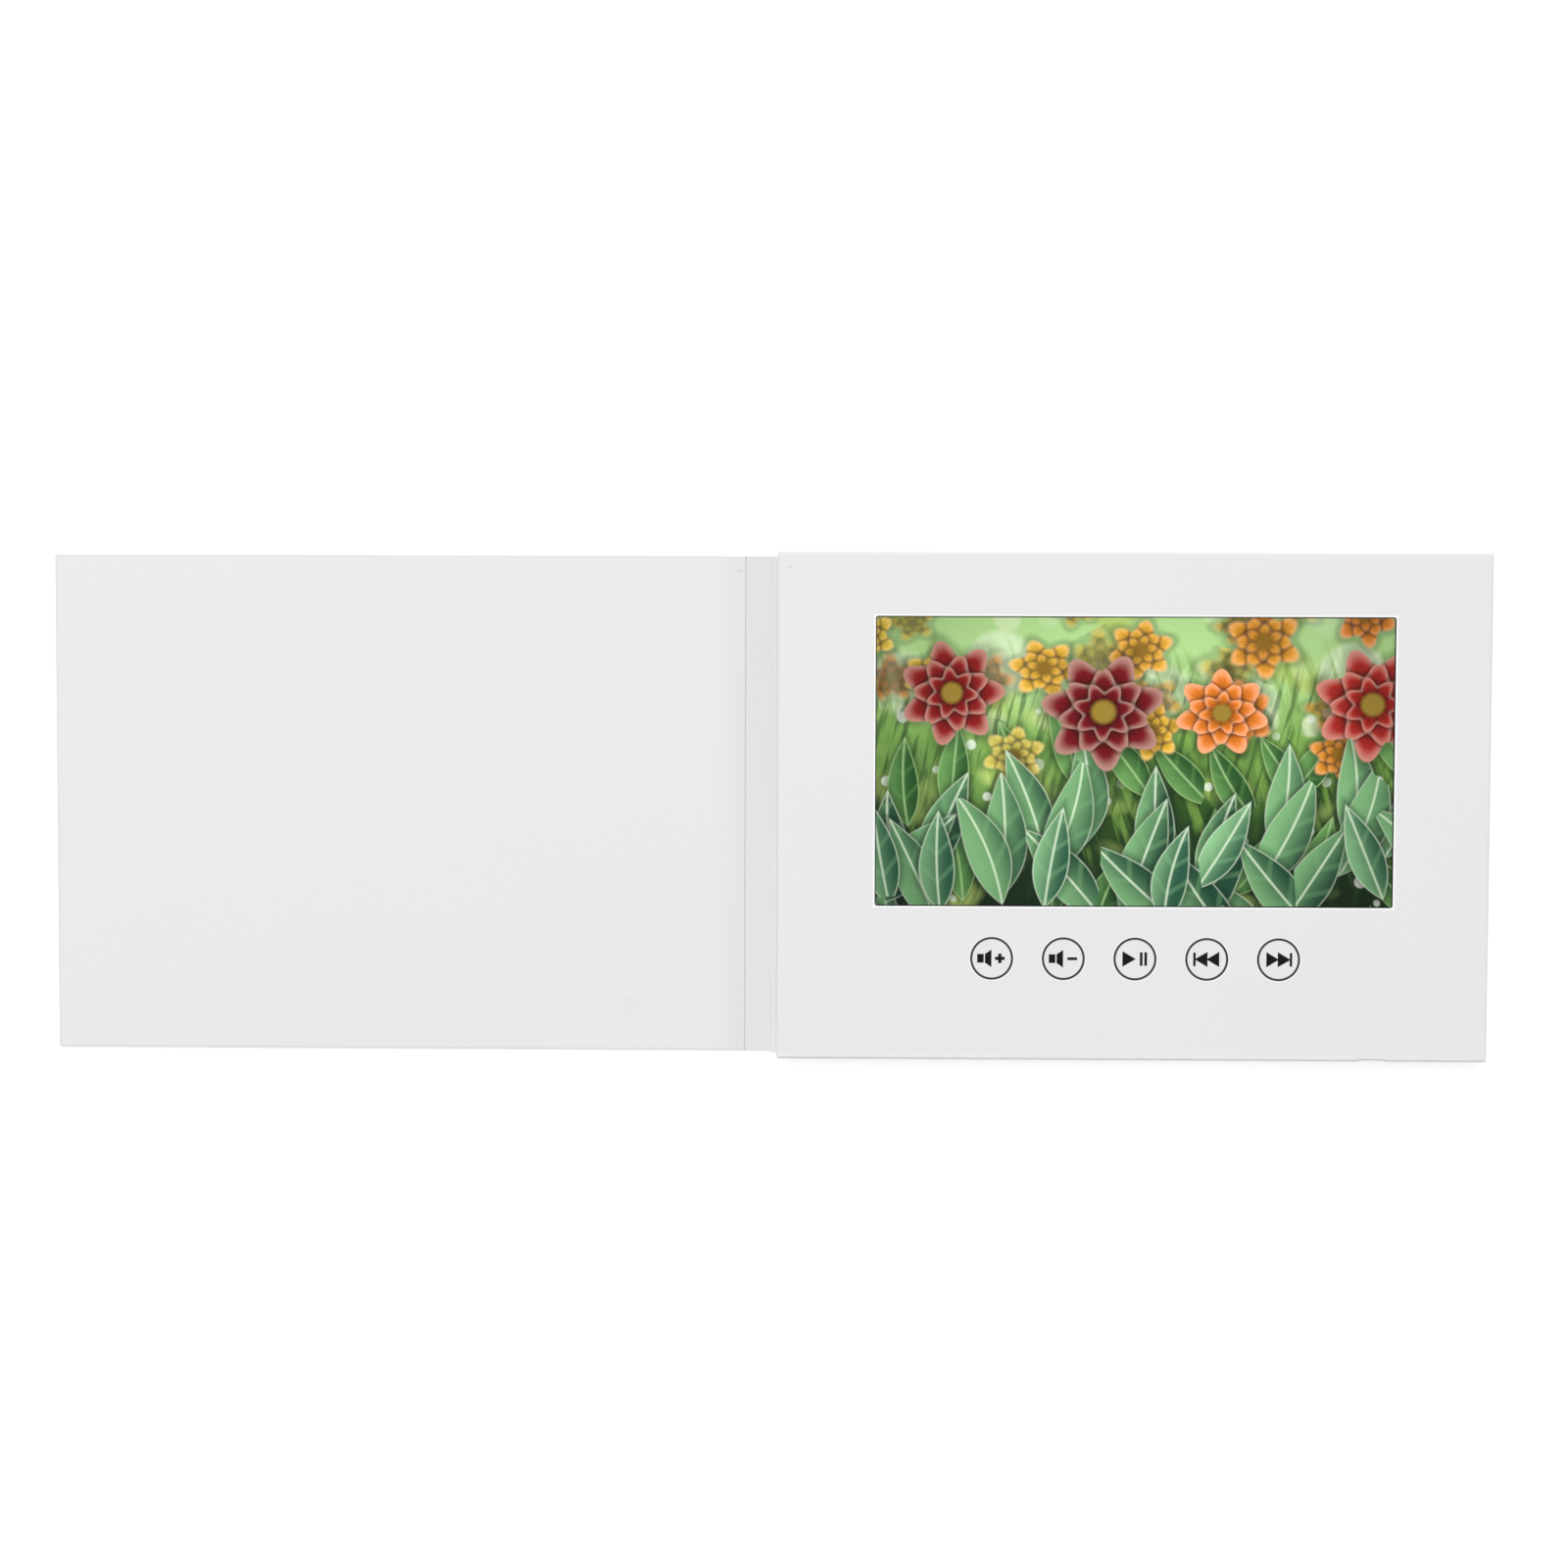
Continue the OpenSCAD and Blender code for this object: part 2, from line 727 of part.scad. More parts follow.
// Steel bezel: a lip over the glass and a skirt round the frame, slotted for the ribbon
module display_bezel() {
  skirt_z = display_z + steel_t;
  skirt_h = display_top - skirt_z;
  hollow_h = skirt_h + over - steel_t;
  color("silver") difference() {
    bar([display_x, display_y, skirt_z], [display_w, display_h, skirt_h]);
    grown_bar(display_x, display_y, skirt_z - over, display_w, display_h, hollow_h, -steel_t);
    bar([view_x, view_y, display_top - steel_t - over], [view_w, view_h, steel_t + 2 * over]);
    ribbon_slot(0);
  }
}

// Slot through the display's lower edge for the ribbon
module ribbon_slot(gap) {
  half_w = ribbon_w / 2 + ribbon_slot_gap + gap;
  low_z = rear_glass_z - ribbon_slot_gap;
  high_z = front_glass_z + ribbon_slot_gap;
  size = [2 * half_w, over + glass_y - display_y, high_z - low_z];
  bar([ribbon_x - half_w, display_y - over, low_z], size);
}

module front_polarizer() {
  z = display_top - polarizer_t;
  color([0.1, 0.12, 0.12]) grown_bar(view_x, view_y, z, view_w, view_h, polarizer_t, -stack_gap);
}

module front_glass() {
  color([0.6, 0.7, 0.7, 0.6]) bar([glass_x, glass_y, front_glass_z], [glass_w, glass_h, glass_t]);
}

// Rear glass reaches further down than the front one and carries the driver chip there
module rear_glass() {
  size = [glass_w, glass_h + ledge_w, glass_t];
  color([0.5, 0.6, 0.6, 0.6]) bar([glass_x, glass_y - ledge_w, rear_glass_z], size);
}

module driver_chip() {
  chip = [22, 1.4, 0.3];
  x = glass_x + (glass_w - chip[0]) / 2;
  y = glass_y - (ledge_w + chip[1]) / 2;
  color("black") bar([x, y, rear_glass_z + glass_t], chip);
}

module rear_polarizer() {
  color([0.25, 0.27, 0.27]) bar([view_x, view_y, rear_polarizer_z], [view_w, view_h, polarizer_t]);
}

module light_films() {
  color([0.92, 0.94, 0.96]) bar([guide_x, guide_y, film_z], [guide_w, guide_h, film_t]);
}

module light_guide() {
  color([0.85, 0.92, 0.95, 0.7]) bar([guide_x, guide_y, guide_z], [guide_w, guide_h, guide_t]);
}

module reflector_sheet() {
  color("white") bar([guide_x, lamp_y, reflector_z], [guide_w, guide_y + guide_h - lamp_y, reflector_t]);
}

// Lamps on a strip along the light guide's lower edge
module lamp_bar() {
  strip_t = 0.2;
  pitch = guide_w / lamp_count;
  first_x = guide_x + (pitch - lamp_size[0]) / 2;
  color("khaki") {
    bar([guide_x, lamp_y, guide_z], [guide_w, lamp_size[1], strip_t]);
    for (i = [0:lamp_count - 1]) bar([first_x + i * pitch, lamp_y, guide_z + strip_t / 2], lamp_size);
  }
}

// Moulded frame: it carries the glass on a step and holds the guide and films inside
module display_frame() {
  hollow_h = display_top - display_z + 2 * over;
  lower_z = reflector_z - over;
  color([0.93, 0.93, 0.9]) difference() {
    bar([frame_x, frame_y, reflector_z], [frame_w, frame_h, display_top - steel_t - reflector_z]);
    grown_bar(guide_x, lamp_y, lower_z, guide_w, guide_y + guide_h - lamp_y, hollow_h, stack_gap);
    grown_bar(glass_x, glass_y - ledge_w, rear_glass_z, glass_w, glass_h + ledge_w, hollow_h, stack_gap);
    ribbon_slot(stack_gap);
  }
}

module display_back_plate() {
  emboss_t = 0.15;
  emboss_d = 12;
  middle = [display_x + display_w / 2, display_y + display_h / 2, display_z - emboss_t / 2];
  color("lightgray") difference() {
    bar([display_x, display_y, display_z], [display_w, display_h, steel_t]);
    for (side = [-1, 1])
      translate(middle + [side * display_w / 4, 0, 0]) cylinder(h = emboss_t, d = emboss_d);
  }
}

// Ribbon from the glass ledge, out through the slot and down into the board's connector
module display_ribbon() {
  on_ledge = ledge_w - 0.6;
  upper_bend = 1.2;
  lower_bend = 0.8;
  into_socket = 1;
  top_z = rear_glass_z + glass_t + ribbon_t;
  plug_z = board_top + ribbon_socket_t / 2 + ribbon_t;
  bend_y = display_y - ribbon_slot_gap;
  path = concat(
    [[glass_y - ledge_w + on_ledge, top_z]],
    arc_points([bend_y, top_z - upper_bend], upper_bend, 90, 180),
    arc_points([bend_y - upper_bend - lower_bend, plug_z + lower_bend], lower_bend, 0, -90),
    [[ribbon_socket_y + ribbon_socket_h - into_socket, plug_z]]
  );
  color("orange") bent_ribbon(path);
}

// The ribbon's section is drawn with its own thickness on the inner side of each bend
module bent_ribbon(path) {
  inner = [for (i = [len(path) - 1:-1:0]) path[i] + ribbon_side(path, i) * ribbon_t];
  left_x = ribbon_x - ribbon_w / 2;
  translate([left_x, 0, 0]) rotate([90, 0, 90]) linear_extrude(ribbon_w) polygon(concat(path, inner));
}

// Unit normal to the right of the path's direction of travel in the YZ plane, seen along +X
function ribbon_side(path, i) =
  let (a = path[max(i - 1, 0)], b = path[min(i + 1, len(path) - 1)], d = (b - a) / norm(b - a))
  [-d[1], d[0]];

// Player board and what is soldered to it
module player_board() {
  hole_d = 2.2;
  hole_in = 2.6;
  hole_h = pcb_t + 2 * over;
  color("darkgreen") translate([main_board_x, main_board_y, board_z]) difference() {
    cube([main_board_w, main_board_h, pcb_t]);
    for (x = [hole_in, main_board_w - hole_in])
      translate([x, hole_in, -over]) cylinder(h = hole_h, d = hole_d);
  }
}

processor_at = [main_board_x + 12, main_board_y + 15.5];
memory_at = [main_board_x + 25.5, main_board_y + 16.5];
coil_from_end = 8;
coil_at = [main_board_x + main_board_w - coil_from_end, main_board_y + 8];
crystal_at = [main_board_x + 7, main_board_y + 24.5];

// A chip on the player board, centred on a point
module board_chip(at, size) {
  translate([at[0] - size[0] / 2, at[1] - size[1] / 2, board_top]) cube(size);
}

// Rows of bent feet along the sides of a chip
module chip_leads(at, turns, count, side, reach) {
  foot = [0.4, 1.2, 0.3];
  bite = 0.2;
  pitch = side / (count + 1);
  for (turn = turns, i = [1:count])
    translate([at[0], at[1], board_top]) rotate([0, 0, turn])
      translate([i * pitch - side / 2 - foot[0] / 2, reach - bite, 0]) cube(foot);
}

// Chips of the player board, drawn as one node
module board_chips() {
  processor();
  memory_chip();
}

// Processor with a row of leads on each side
module processor() {
  color([0.12, 0.12, 0.13]) board_chip(processor_at, [processor_w, processor_w, processor_t]);
  color("silver") chip_leads(processor_at, [0, 90, 180, 270], 12, processor_w, processor_w / 2);
}

module memory_chip() {
  color([0.12, 0.12, 0.13]) board_chip(memory_at, [memory_w, memory_h, memory_t]);
  color("silver") chip_leads(memory_at, [0, 180], 4, memory_w, memory_h / 2);
}

// Wound coil: square base and cap with a round waist
module power_coil() {
  flange_t = coil_t / 4;
  waist_d = coil_w - 1;
  color("dimgray") translate([coil_at[0], coil_at[1], board_top]) {
    translate([-coil_w / 2, -coil_w / 2, 0]) cube([coil_w, coil_w, flange_t]);
    cylinder(h = coil_t - flange_t / 2, d = waist_d);
    translate([0, 0, coil_t - flange_t]) cylinder(h = flange_t, d = coil_w);
  }
}

module crystal() {
  step = 0.3;
  color("gainsboro") {
    board_chip(crystal_at, [crystal_w, crystal_h, crystal_t - step]);
    board_chip(crystal_at, [crystal_w - 2 * step, crystal_h - 2 * step, crystal_t]);
  }
}

// Small capacitors and resistors in rows beside the chips
module chip_parts() {
  part = [1.6, 0.8, 0.6];
  row_pitch = 1.7;
  row_count = 4;
  rows_from_end = [12.5, 9.5, 6.5];
  rows_by_end = [for (d = rows_from_end) [main_board_w - d, 15]];
  rows_at = concat(rows_by_end, [[21.5, 5], [29.8, 5]]);
  color("tan") for (at = rows_at, i = [0:row_count - 1])
    bar([main_board_x + at[0], main_board_y + at[1] + i * row_pitch, board_top], part);
}

// Plastic sockets of the player board, drawn as one node
module board_sockets() {
  ribbon_socket();
  lead_sockets();
}

// Connector of the display's ribbon, open towards the display
module ribbon_socket() {
  wall = 1;
  play = 0.2;
  slot_t = 4 * ribbon_t;
  slot_w = ribbon_w + 2 * play;
  slot_z = board_top + (ribbon_socket_t + ribbon_t - slot_t) / 2;
  socket_w = slot_w + 2 * wall;
  color("ivory") difference() {
    bar([ribbon_x - socket_w / 2, ribbon_socket_y, board_top], [socket_w, ribbon_socket_h, ribbon_socket_t]);
    bar([ribbon_x - slot_w / 2, ribbon_socket_y + wall, slot_z], [slot_w, ribbon_socket_h, slot_t]);
  }
}

// Five-pin socket: drawn shell with sloping lower corners, open towards the wall
module usb_shell() {
  color("silver") translate([usb_x, usb_mouth_y(), board_top]) rotate([90, 0, 180]) {
    linear_extrude(usb_l) difference() {
      usb_outline(0);
      usb_outline(usb_sheet_t);
    }
    translate([0, 0, usb_l - usb_sheet_t]) linear_extrude(usb_sheet_t) usb_outline(0);
  }
}

function usb_mouth_y() = block_low + tray_card_t;

module usb_outline(inset) {
  half = usb_w / 2 - inset;
  step_z = 1.3;
  slope = 0.6;
  narrow = half - slope;
  polygon([
    [-narrow, inset],
    [narrow, inset],
    [narrow, step_z],
    [half, step_z + slope],
    [half, usb_h - inset],
    [-half, usb_h - inset],
    [-half, step_z + slope],
    [-narrow, step_z]
  ]);
}

module usb_tongue() {
  tongue_w = 5.6;
  tongue_t = 0.7;
  tongue_in = 0.9;
  tongue_z = board_top + usb_h / 2;
  size = [tongue_w, usb_l - usb_sheet_t - tongue_in, tongue_t];
  color("black") bar([usb_x - tongue_w / 2, usb_mouth_y() + tongue_in, tongue_z], size);
}

// Places of the two lead sockets, each open on the side where its plug enters
module at_battery_socket() {
  translate([battery_socket_x, battery_socket_y, board_top]) children();
}

module at_speaker_socket() {
  translate([speaker_socket_x, speaker_socket_y, board_top]) rotate([0, 0, 90]) children();
}

module lead_sockets() {
  color("ivory") {
    at_battery_socket() lead_socket();
    at_speaker_socket() lead_socket();
  }
}

module lead_socket() {
  size = [lead_socket_w, lead_socket_h, lead_socket_t];
  hollow = [size[0] - 2 * socket_wall, size[1], size[2] - 2 * socket_wall];
  translate([-size[0] / 2, -size[1] / 2, 0]) difference() {
    cube(size);
    bar([socket_wall, socket_wall, socket_wall], hollow);
  }
}

module lead_plugs() {
  color("white") {
    at_battery_socket() lead_plug();
    at_speaker_socket() lead_plug();
  }
}

module lead_plug() {
  inset = socket_wall + plug_play;
  size = [lead_socket_w - 2 * inset, lead_socket_h - inset + plug_out, lead_socket_t - 2 * inset];
  bar([-size[0] / 2, inset - lead_socket_h / 2, inset], size);
}

// Pouch cell: a body with round long edges and a flat sealed strip at the lead end
module battery_cell() {
  edge_r = battery_t / 2 - 0.2;
  seal_z = cell_z + (battery_t - seal_t) / 2;
  seal_size = [guard_w + over, battery_h - 2 * edge_r, seal_t];
  color([0.72, 0.74, 0.76]) {
    translate([cell_x, cell_y, cell_z]) rotate([90, 0, 90])
      linear_extrude(battery_w) rounded_outline(battery_h, battery_t, edge_r);
    bar([cell_x + battery_w - over, cell_y + edge_r, seal_z], seal_size);
  }
}

// Guard board on the sealed strip
module battery_guard() {
  size = [guard_w - guard_gap, battery_h - 2 * guard_margin, guard_t];
  color("darkgreen") bar([cell_x + battery_w + guard_gap, cell_y + guard_margin, guard_z], size);
}

module battery_tape() {
  strip = [17, battery_h - 8, tape_t];
  strip_in = 12;
  color("gold") for (x = [strip_in, battery_w - strip_in - strip[0]])
    bar([cell_x + x, cell_y + (battery_h - strip[1]) / 2, back_t], strip);
}

// Two leads from the guard board to the plug on the player board
module battery_leads() {
  from_guard_end = 3;
  wide_pull = 25;
  climb_pull = 1.5;
  square_end = 0.6;
  run_z = guard_z + guard_t / 2;
  start = [cell_x + battery_w + guard_w + seat_gap, cell_y + guard_margin + from_guard_end, run_z];
  bend_start = start + [1, 0, 0];
  bend_end = [battery_socket_x, display_y + 1, run_z];
  end = [battery_socket_x, battery_socket_y + plug_end + seat_gap, lead_z];
  climb_end = end + [0, square_end, 0];
  route = concat(
    [start],
    curve_points(bend_start, [1, 0, 0], bend_end, [0, -1, 0], wide_pull, 10),
    curve_points(bend_end, [0, -1, 0], climb_end, [0, -1, 0], climb_pull, 6),
    [climb_end, end]
  );
  lead_pair(route);
}

// The speaker's outline drawn in by a margin
module inset_racetrack(margin, t) {
  racetrack(speaker_w - 2 * margin, speaker_h - 2 * margin, t);
}

// Speaker: basket, cone, magnet and gasket, from the back up
module speaker_basket() {
  rim_t = 1;
  basket_t = speaker_t - gasket_t - speaker_magnet_t;
  color("dimgray") translate([speaker_cx, speaker_cy, speaker_z + speaker_magnet_t]) difference() {
    union() {
      inset_racetrack(basket_in, basket_t);
      translate([0, 0, basket_t - rim_t]) inset_racetrack(0, rim_t);
    }
    translate([0, 0, basket_wall]) inset_racetrack(basket_in + basket_wall, basket_t);
    translate([0, 0, -over]) cylinder(h = 2 * over, d = neck_d + 2 * neck_gap);
  }
}

module speaker_cone() {
  surround_t = 0.4;
  surround_w = 2.8;
  dish_t = 0.7;
  dish_lap = 0.3;
  dish_wall = 0.7;
  outer = basket_in + basket_wall + 0.1;
  inner = outer + surround_w;
  dish_z = speaker_t - gasket_t - surround_t - dish_t;
  neck_h = dish_z - speaker_magnet_t + surround_t / 2;
  color([0.2, 0.2, 0.22]) translate([speaker_cx, speaker_cy, speaker_z]) {
    translate([0, 0, dish_z + dish_t]) difference() {
      inset_racetrack(outer, surround_t);
      translate([0, 0, -over]) inset_racetrack(inner, surround_t + 2 * over);
    }
    translate([0, 0, dish_z]) difference() {
      inset_racetrack(inner - dish_lap, dish_t + surround_t);
      translate([0, 0, surround_t]) inset_racetrack(inner - dish_lap + dish_wall, dish_t + surround_t);
    }
    translate([0, 0, speaker_magnet_t]) cylinder(h = neck_h, d = neck_d);
  }
}

module speaker_magnet() {
  middle = [speaker_cx, speaker_cy, speaker_z];
  color("silver") translate(middle) cylinder(h = speaker_magnet_t, d = speaker_magnet_d);
}

module speaker_gasket() {
  color([0.15, 0.15, 0.15]) translate([speaker_cx, speaker_cy, face_under - gasket_t]) difference() {
    inset_racetrack(0, gasket_t);
    translate([0, 0, -over]) inset_racetrack(basket_in, gasket_t + 2 * over);
  }
}

// Two leads from the speaker's end to its plug, with a little slack
module speaker_leads() {
  square_end = 2;
  slack_pull = 12;
  start = [speaker_cx + speaker_w / 2 - basket_in + seat_gap, speaker_cy, lead_z];
  end = [speaker_socket_x - plug_end - seat_gap, speaker_socket_y, lead_z];
  bend_start = start + [square_end, 0, 0];
  bend_end = end - [square_end, 0, 0];
  bend = curve_points(bend_start, [1, 0, 0], bend_end, [1, 0, 0], slack_pull, 8);
  lead_pair(concat([start], bend, [bend_end, end]));
}

// Key board: a strip under the five keys with an arm down to the magnet sensor
module key_board() {
  arm_size = [sensor_arm_w, sensor_arm_h + over, pcb_t];
  color("darkgreen") {
    bar([key_board_x, key_board_y, board_z], [key_board_end - key_board_x, key_board_h, pcb_t]);
    bar([key_board_x, key_board_y - sensor_arm_h, board_z], arm_size);
  }
}

module switch_bases() {
  well_d = plunger_d + 0.2;
  color([0.15, 0.15, 0.16]) for (x = key_x) translate([x, key_y, board_top]) difference() {
    translate([-switch_w / 2, -switch_w / 2, 0]) cube([switch_w, switch_w, switch_h]);
    translate([0, 0, switch_h - well_depth]) cylinder(h = well_depth + over, d = well_d);
  }
}

module magnet_sensor() {
  foot = [0.4, 0.9, 0.3];
  bite = 0.2;
  pair_pitch = 1.5;
  left_x = sensor_x - foot[0] / 2;
  upper_y = sensor_y + sensor_h / 2 - bite;
  lower_y = sensor_y - sensor_h / 2 + bite - foot[1];
  color("black") {
    board_chip([sensor_x, sensor_y], [sensor_w, sensor_h, sensor_t]);
    for (side = [-1, 1]) bar([left_x + side * pair_pitch / 2, upper_y, board_top], foot);
    bar([left_x, lower_y, board_top], foot);
  }
}

// Flat cable soldered between the two boards
module key_ribbon() {
  cable_h = 6;
  cable_t = 0.3;
  cable_low = 3.5;
  land = 2.5;
  size = [main_board_x - key_board_end + 2 * land, cable_h, cable_t];
  color("whitesmoke") bar([key_board_end - land, key_y - cable_low, board_top], size);
}

// A moulded key: cap through the tray's hole, flange under the face and stem on the switch
module push_key(i) {
  stem_h = key_flange_z - plunger_top + key_flange_t / 2;
  color("white") translate([key_x[i], key_y, 0]) {
    translate([0, 0, key_flange_z]) cylinder(h = block_t - key_flange_z, d = key_d);
    translate([0, 0, key_flange_z]) cylinder(h = key_flange_t, d = key_flange_d);
    translate([0, 0, plunger_top]) cylinder(h = stem_h, d = key_stem_d);
  }
}

// A switch's plunger stands in its well with room to travel
module switch_plunger(i) {
  floor_gap = 0.1;
  foot = well_depth - key_travel - floor_gap;
  base = [key_x[i], key_y, switch_top - foot];
  color("black") translate(base) cylinder(h = foot + plunger_h, d = plunger_d);
}

module volume_up_key() { push_key(0); }
module volume_up_plunger() { switch_plunger(0); }
module volume_down_key() { push_key(1); }
module volume_down_plunger() { switch_plunger(1); }
module play_key() { push_key(2); }
module play_plunger() { switch_plunger(2); }
module previous_key() { push_key(3); }
module previous_plunger() { switch_plunger(3); }
module next_key() { push_key(4); }
module next_plunger() { switch_plunger(4); }

// One layer of the filler inside the tray's walls, flaps and tabs
module filler_layer(z0, z1) {
  difference() {
    intersection() {
      tray_form(wall_in, face_under - filler_gap / 2);
      bar([block_x, block_low, z0], [block_w, block_h, z1 - z0]);
    }
    flap_relief();
    tab_relief();
  }
}

module flap_relief() {
  z = back_t - over;
  relief_t = tray_card_t + filler_gap / 2 + over;
  margin = flap_w + tray_card_t + filler_gap;
  difference() {
    grown_bar(block_x, block_low, z, block_w, block_h, relief_t, over);
    grown_bar(block_x, block_low, z - over, block_w, block_h, relief_t + 2 * over, -margin);
  }
}

module tab_relief() {
  side = tab_w + filler_gap + tray_card_t;
  depth = 2 * tray_card_t + filler_gap / 2;
  for (x = [block_x - over, block_right - side], y = [block_low - over, block_h / 2 - depth])
    bar([x, y, 0], [side + over, depth + over, block_t]);
}

// Lower filler carries the boards and rings the battery, the speaker and the leads
module lower_filler() {
  g = filler_gap;
  color("burlywood") difference() {
    filler_layer(back_t, filler_split);
    grown_bar(cell_x, cell_y, 0, battery_w + guard_w, battery_h, block_t, g);
    board_pocket(board_z);
    translate([speaker_cx, speaker_cy, speaker_z]) inset_racetrack(-g, block_t);
    battery_lead_room();
    speaker_lead_room(board_top);
  }
}

// Pocket over both circuit boards, from a level up
module board_pocket(z) {
  g = filler_gap;
  board_reach = main_board_top_y + g - block_low;
  strip_w = main_board_x - key_board_x;
  bar([main_board_x - g, block_low, z], [main_board_w + 2 * g, board_reach, block_t]);
  grown_bar(key_board_x, key_board_y, z, strip_w, key_board_h, block_t, g);
  grown_bar(key_board_x, key_board_y - sensor_arm_h, z, sensor_arm_w, sensor_arm_h, block_t, g);
}

// Room for the battery's leads on their way to the player board
module battery_lead_room() {
  floor_z = guard_z - lead_d;
  run_x = cell_x + battery_w;
  run_y = main_board_top_y + 5;
  run_w = battery_socket_x + room_half_w - run_x;
  run_h = cell_y + guard_margin + 8 - run_y;
  bar([run_x, run_y, floor_z], [run_w, run_h, block_t]);
  beside_board(battery_socket_x, 2 * room_half_w, floor_z);
}

// A passage between the display and the player board's upper edge
module beside_board(x, w, z) {
  lap = 1;
  bar([x - w / 2, main_board_top_y - lap, z], [w, display_y - main_board_top_y + 2 * lap, 2 * block_t]);
}

// Room for the speaker's leads, from a level up
module speaker_lead_room(z) {
  room_x = speaker_cx + speaker_w / 2 - basket_in - 1;
  room_y = speaker_cy - room_half_w / 2;
  size = [main_board_x + 1 - room_x, speaker_socket_y - speaker_cy + room_half_w, 2 * block_t];
  bar([room_x, room_y, z], size);
}

// Upper filler rings the display and leaves room over the boards and the speaker
module upper_filler() {
  g = filler_gap;
  cut_h = 2 * block_t;
  color("burlywood") difference() {
    filler_layer(filler_split, face_under);
    grown_bar(display_x, display_y, 0, display_w, display_h, cut_h, g);
    board_pocket(0);
    beside_board(ribbon_x, ribbon_w + 2, 0);
    beside_board(battery_socket_x, 2 * room_half_w, 0);
    for (x = key_x) translate([x, key_y, 0]) cylinder(h = cut_h, d = key_flange_d + 2 * g);
    translate([speaker_cx, speaker_cy, 0]) inset_racetrack(-g, cut_h);
    speaker_lead_room(0);
  }
}

cover_wrap();
cover_board();
cover_liner();
cover_magnet();
spine_wrap();
spine_board();
spine_liner();
back_wrap();
back_board();
face_tray();
tray_lower_foot();
tray_lower_wall();
lower_filler();
upper_filler();
display_tape();
display_bezel();
front_polarizer();
front_glass();
rear_glass();
driver_chip();
rear_polarizer();
light_films();
light_guide();
reflector_sheet();
lamp_bar();
display_frame();
display_back_plate();
display_ribbon();
player_board();
board_chips();
power_coil();
crystal();
chip_parts();
board_sockets();
usb_shell();
usb_tongue();
lead_plugs();
battery_cell();
battery_guard();
battery_tape();
battery_leads();
speaker_basket();
speaker_cone();
speaker_magnet();
speaker_gasket();
speaker_leads();
key_board();
switch_bases();
magnet_sensor();
key_ribbon();
volume_up_key();
volume_up_plunger();
volume_down_key();
volume_down_plunger();
play_key();
play_plunger();
previous_key();
previous_plunger();
next_key();
next_plunger();
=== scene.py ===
"""Looks of an open card brochure with a player block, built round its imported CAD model."""
import json
import math

import bmesh
import bpy
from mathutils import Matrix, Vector

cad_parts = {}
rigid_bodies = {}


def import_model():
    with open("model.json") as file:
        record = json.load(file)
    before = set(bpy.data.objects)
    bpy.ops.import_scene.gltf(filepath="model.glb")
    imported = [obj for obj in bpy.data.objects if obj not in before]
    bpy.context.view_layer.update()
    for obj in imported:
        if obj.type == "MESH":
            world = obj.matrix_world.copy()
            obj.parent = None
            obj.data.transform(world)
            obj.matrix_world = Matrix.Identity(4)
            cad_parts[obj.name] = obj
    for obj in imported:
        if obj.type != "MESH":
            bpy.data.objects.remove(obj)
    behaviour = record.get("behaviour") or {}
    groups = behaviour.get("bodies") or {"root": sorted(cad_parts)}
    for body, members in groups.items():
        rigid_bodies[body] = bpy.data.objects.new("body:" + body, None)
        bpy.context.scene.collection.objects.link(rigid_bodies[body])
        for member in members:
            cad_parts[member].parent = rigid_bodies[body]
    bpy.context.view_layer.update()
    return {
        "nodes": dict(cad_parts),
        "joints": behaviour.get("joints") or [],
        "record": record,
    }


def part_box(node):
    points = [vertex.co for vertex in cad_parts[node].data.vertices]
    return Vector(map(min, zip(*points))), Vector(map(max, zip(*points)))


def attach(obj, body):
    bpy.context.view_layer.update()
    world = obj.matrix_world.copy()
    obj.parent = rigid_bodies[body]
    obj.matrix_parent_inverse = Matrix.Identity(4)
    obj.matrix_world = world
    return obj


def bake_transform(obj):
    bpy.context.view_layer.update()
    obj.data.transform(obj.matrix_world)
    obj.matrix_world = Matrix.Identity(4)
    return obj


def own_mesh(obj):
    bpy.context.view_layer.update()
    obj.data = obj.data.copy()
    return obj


bl_info = {
    "name": "Player Brochure",
    "version": (1, 0, 0),
    "blender": (4, 5, 0),
    "location": "3D View > Sidebar > Brochure",
    "description": "Paper, folds, screen picture, key signs and studio of an open card brochure",
    "category": "Object",
}

for spare in list(bpy.data.objects):
    bpy.data.objects.remove(spare)
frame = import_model()

MM = 0.001

# Paper strips lie this far off the paper that they cover, and print goes this far into the cap
LIFT = 0.000004
PRINT_ROOT = 0.00006

# Colours of soil, ink, painted gap shade, bare card and a lighter band of card
SCUFF = (0.3, 0.3, 0.3)
PRESSED = (0.25, 0.25, 0.25)
INK = (0.03, 0.03, 0.032)
GAP_SHADE = (0.02, 0.02, 0.02)
BARE_CARD = (0.99, 0.99, 0.99)
KEY_HOLE_CARD = (0.98, 0.98, 0.98)
LIGHT_BAND_CARD = (0.92, 0.92, 0.92)
UNLIT = (0.006, 0.006, 0.007)
DUST = (0.8, 0.8, 0.8)

# Colours of the garden picture that don't change with its settings
MEADOW = [(0.0, (0.008, 0.022, 0.008)), (0.4, (0.03, 0.08, 0.015)),
          (0.7, (0.18, 0.36, 0.08)), (1.0, (0.42, 0.66, 0.26))]
SUNLIT = (0.44, 0.58, 0.16)
GRASS_LIT = (0.2, 0.36, 0.07)
GRASS_SHADE = (0.015, 0.05, 0.015)
DEW = (0.92, 0.97, 0.85)
PETAL_TIP = (1.0, 0.78, 0.62)
PETAL_SHADE = (0.03, 0.005, 0.003)
BLOOM_SHADOW = (0.01, 0.015, 0.006)

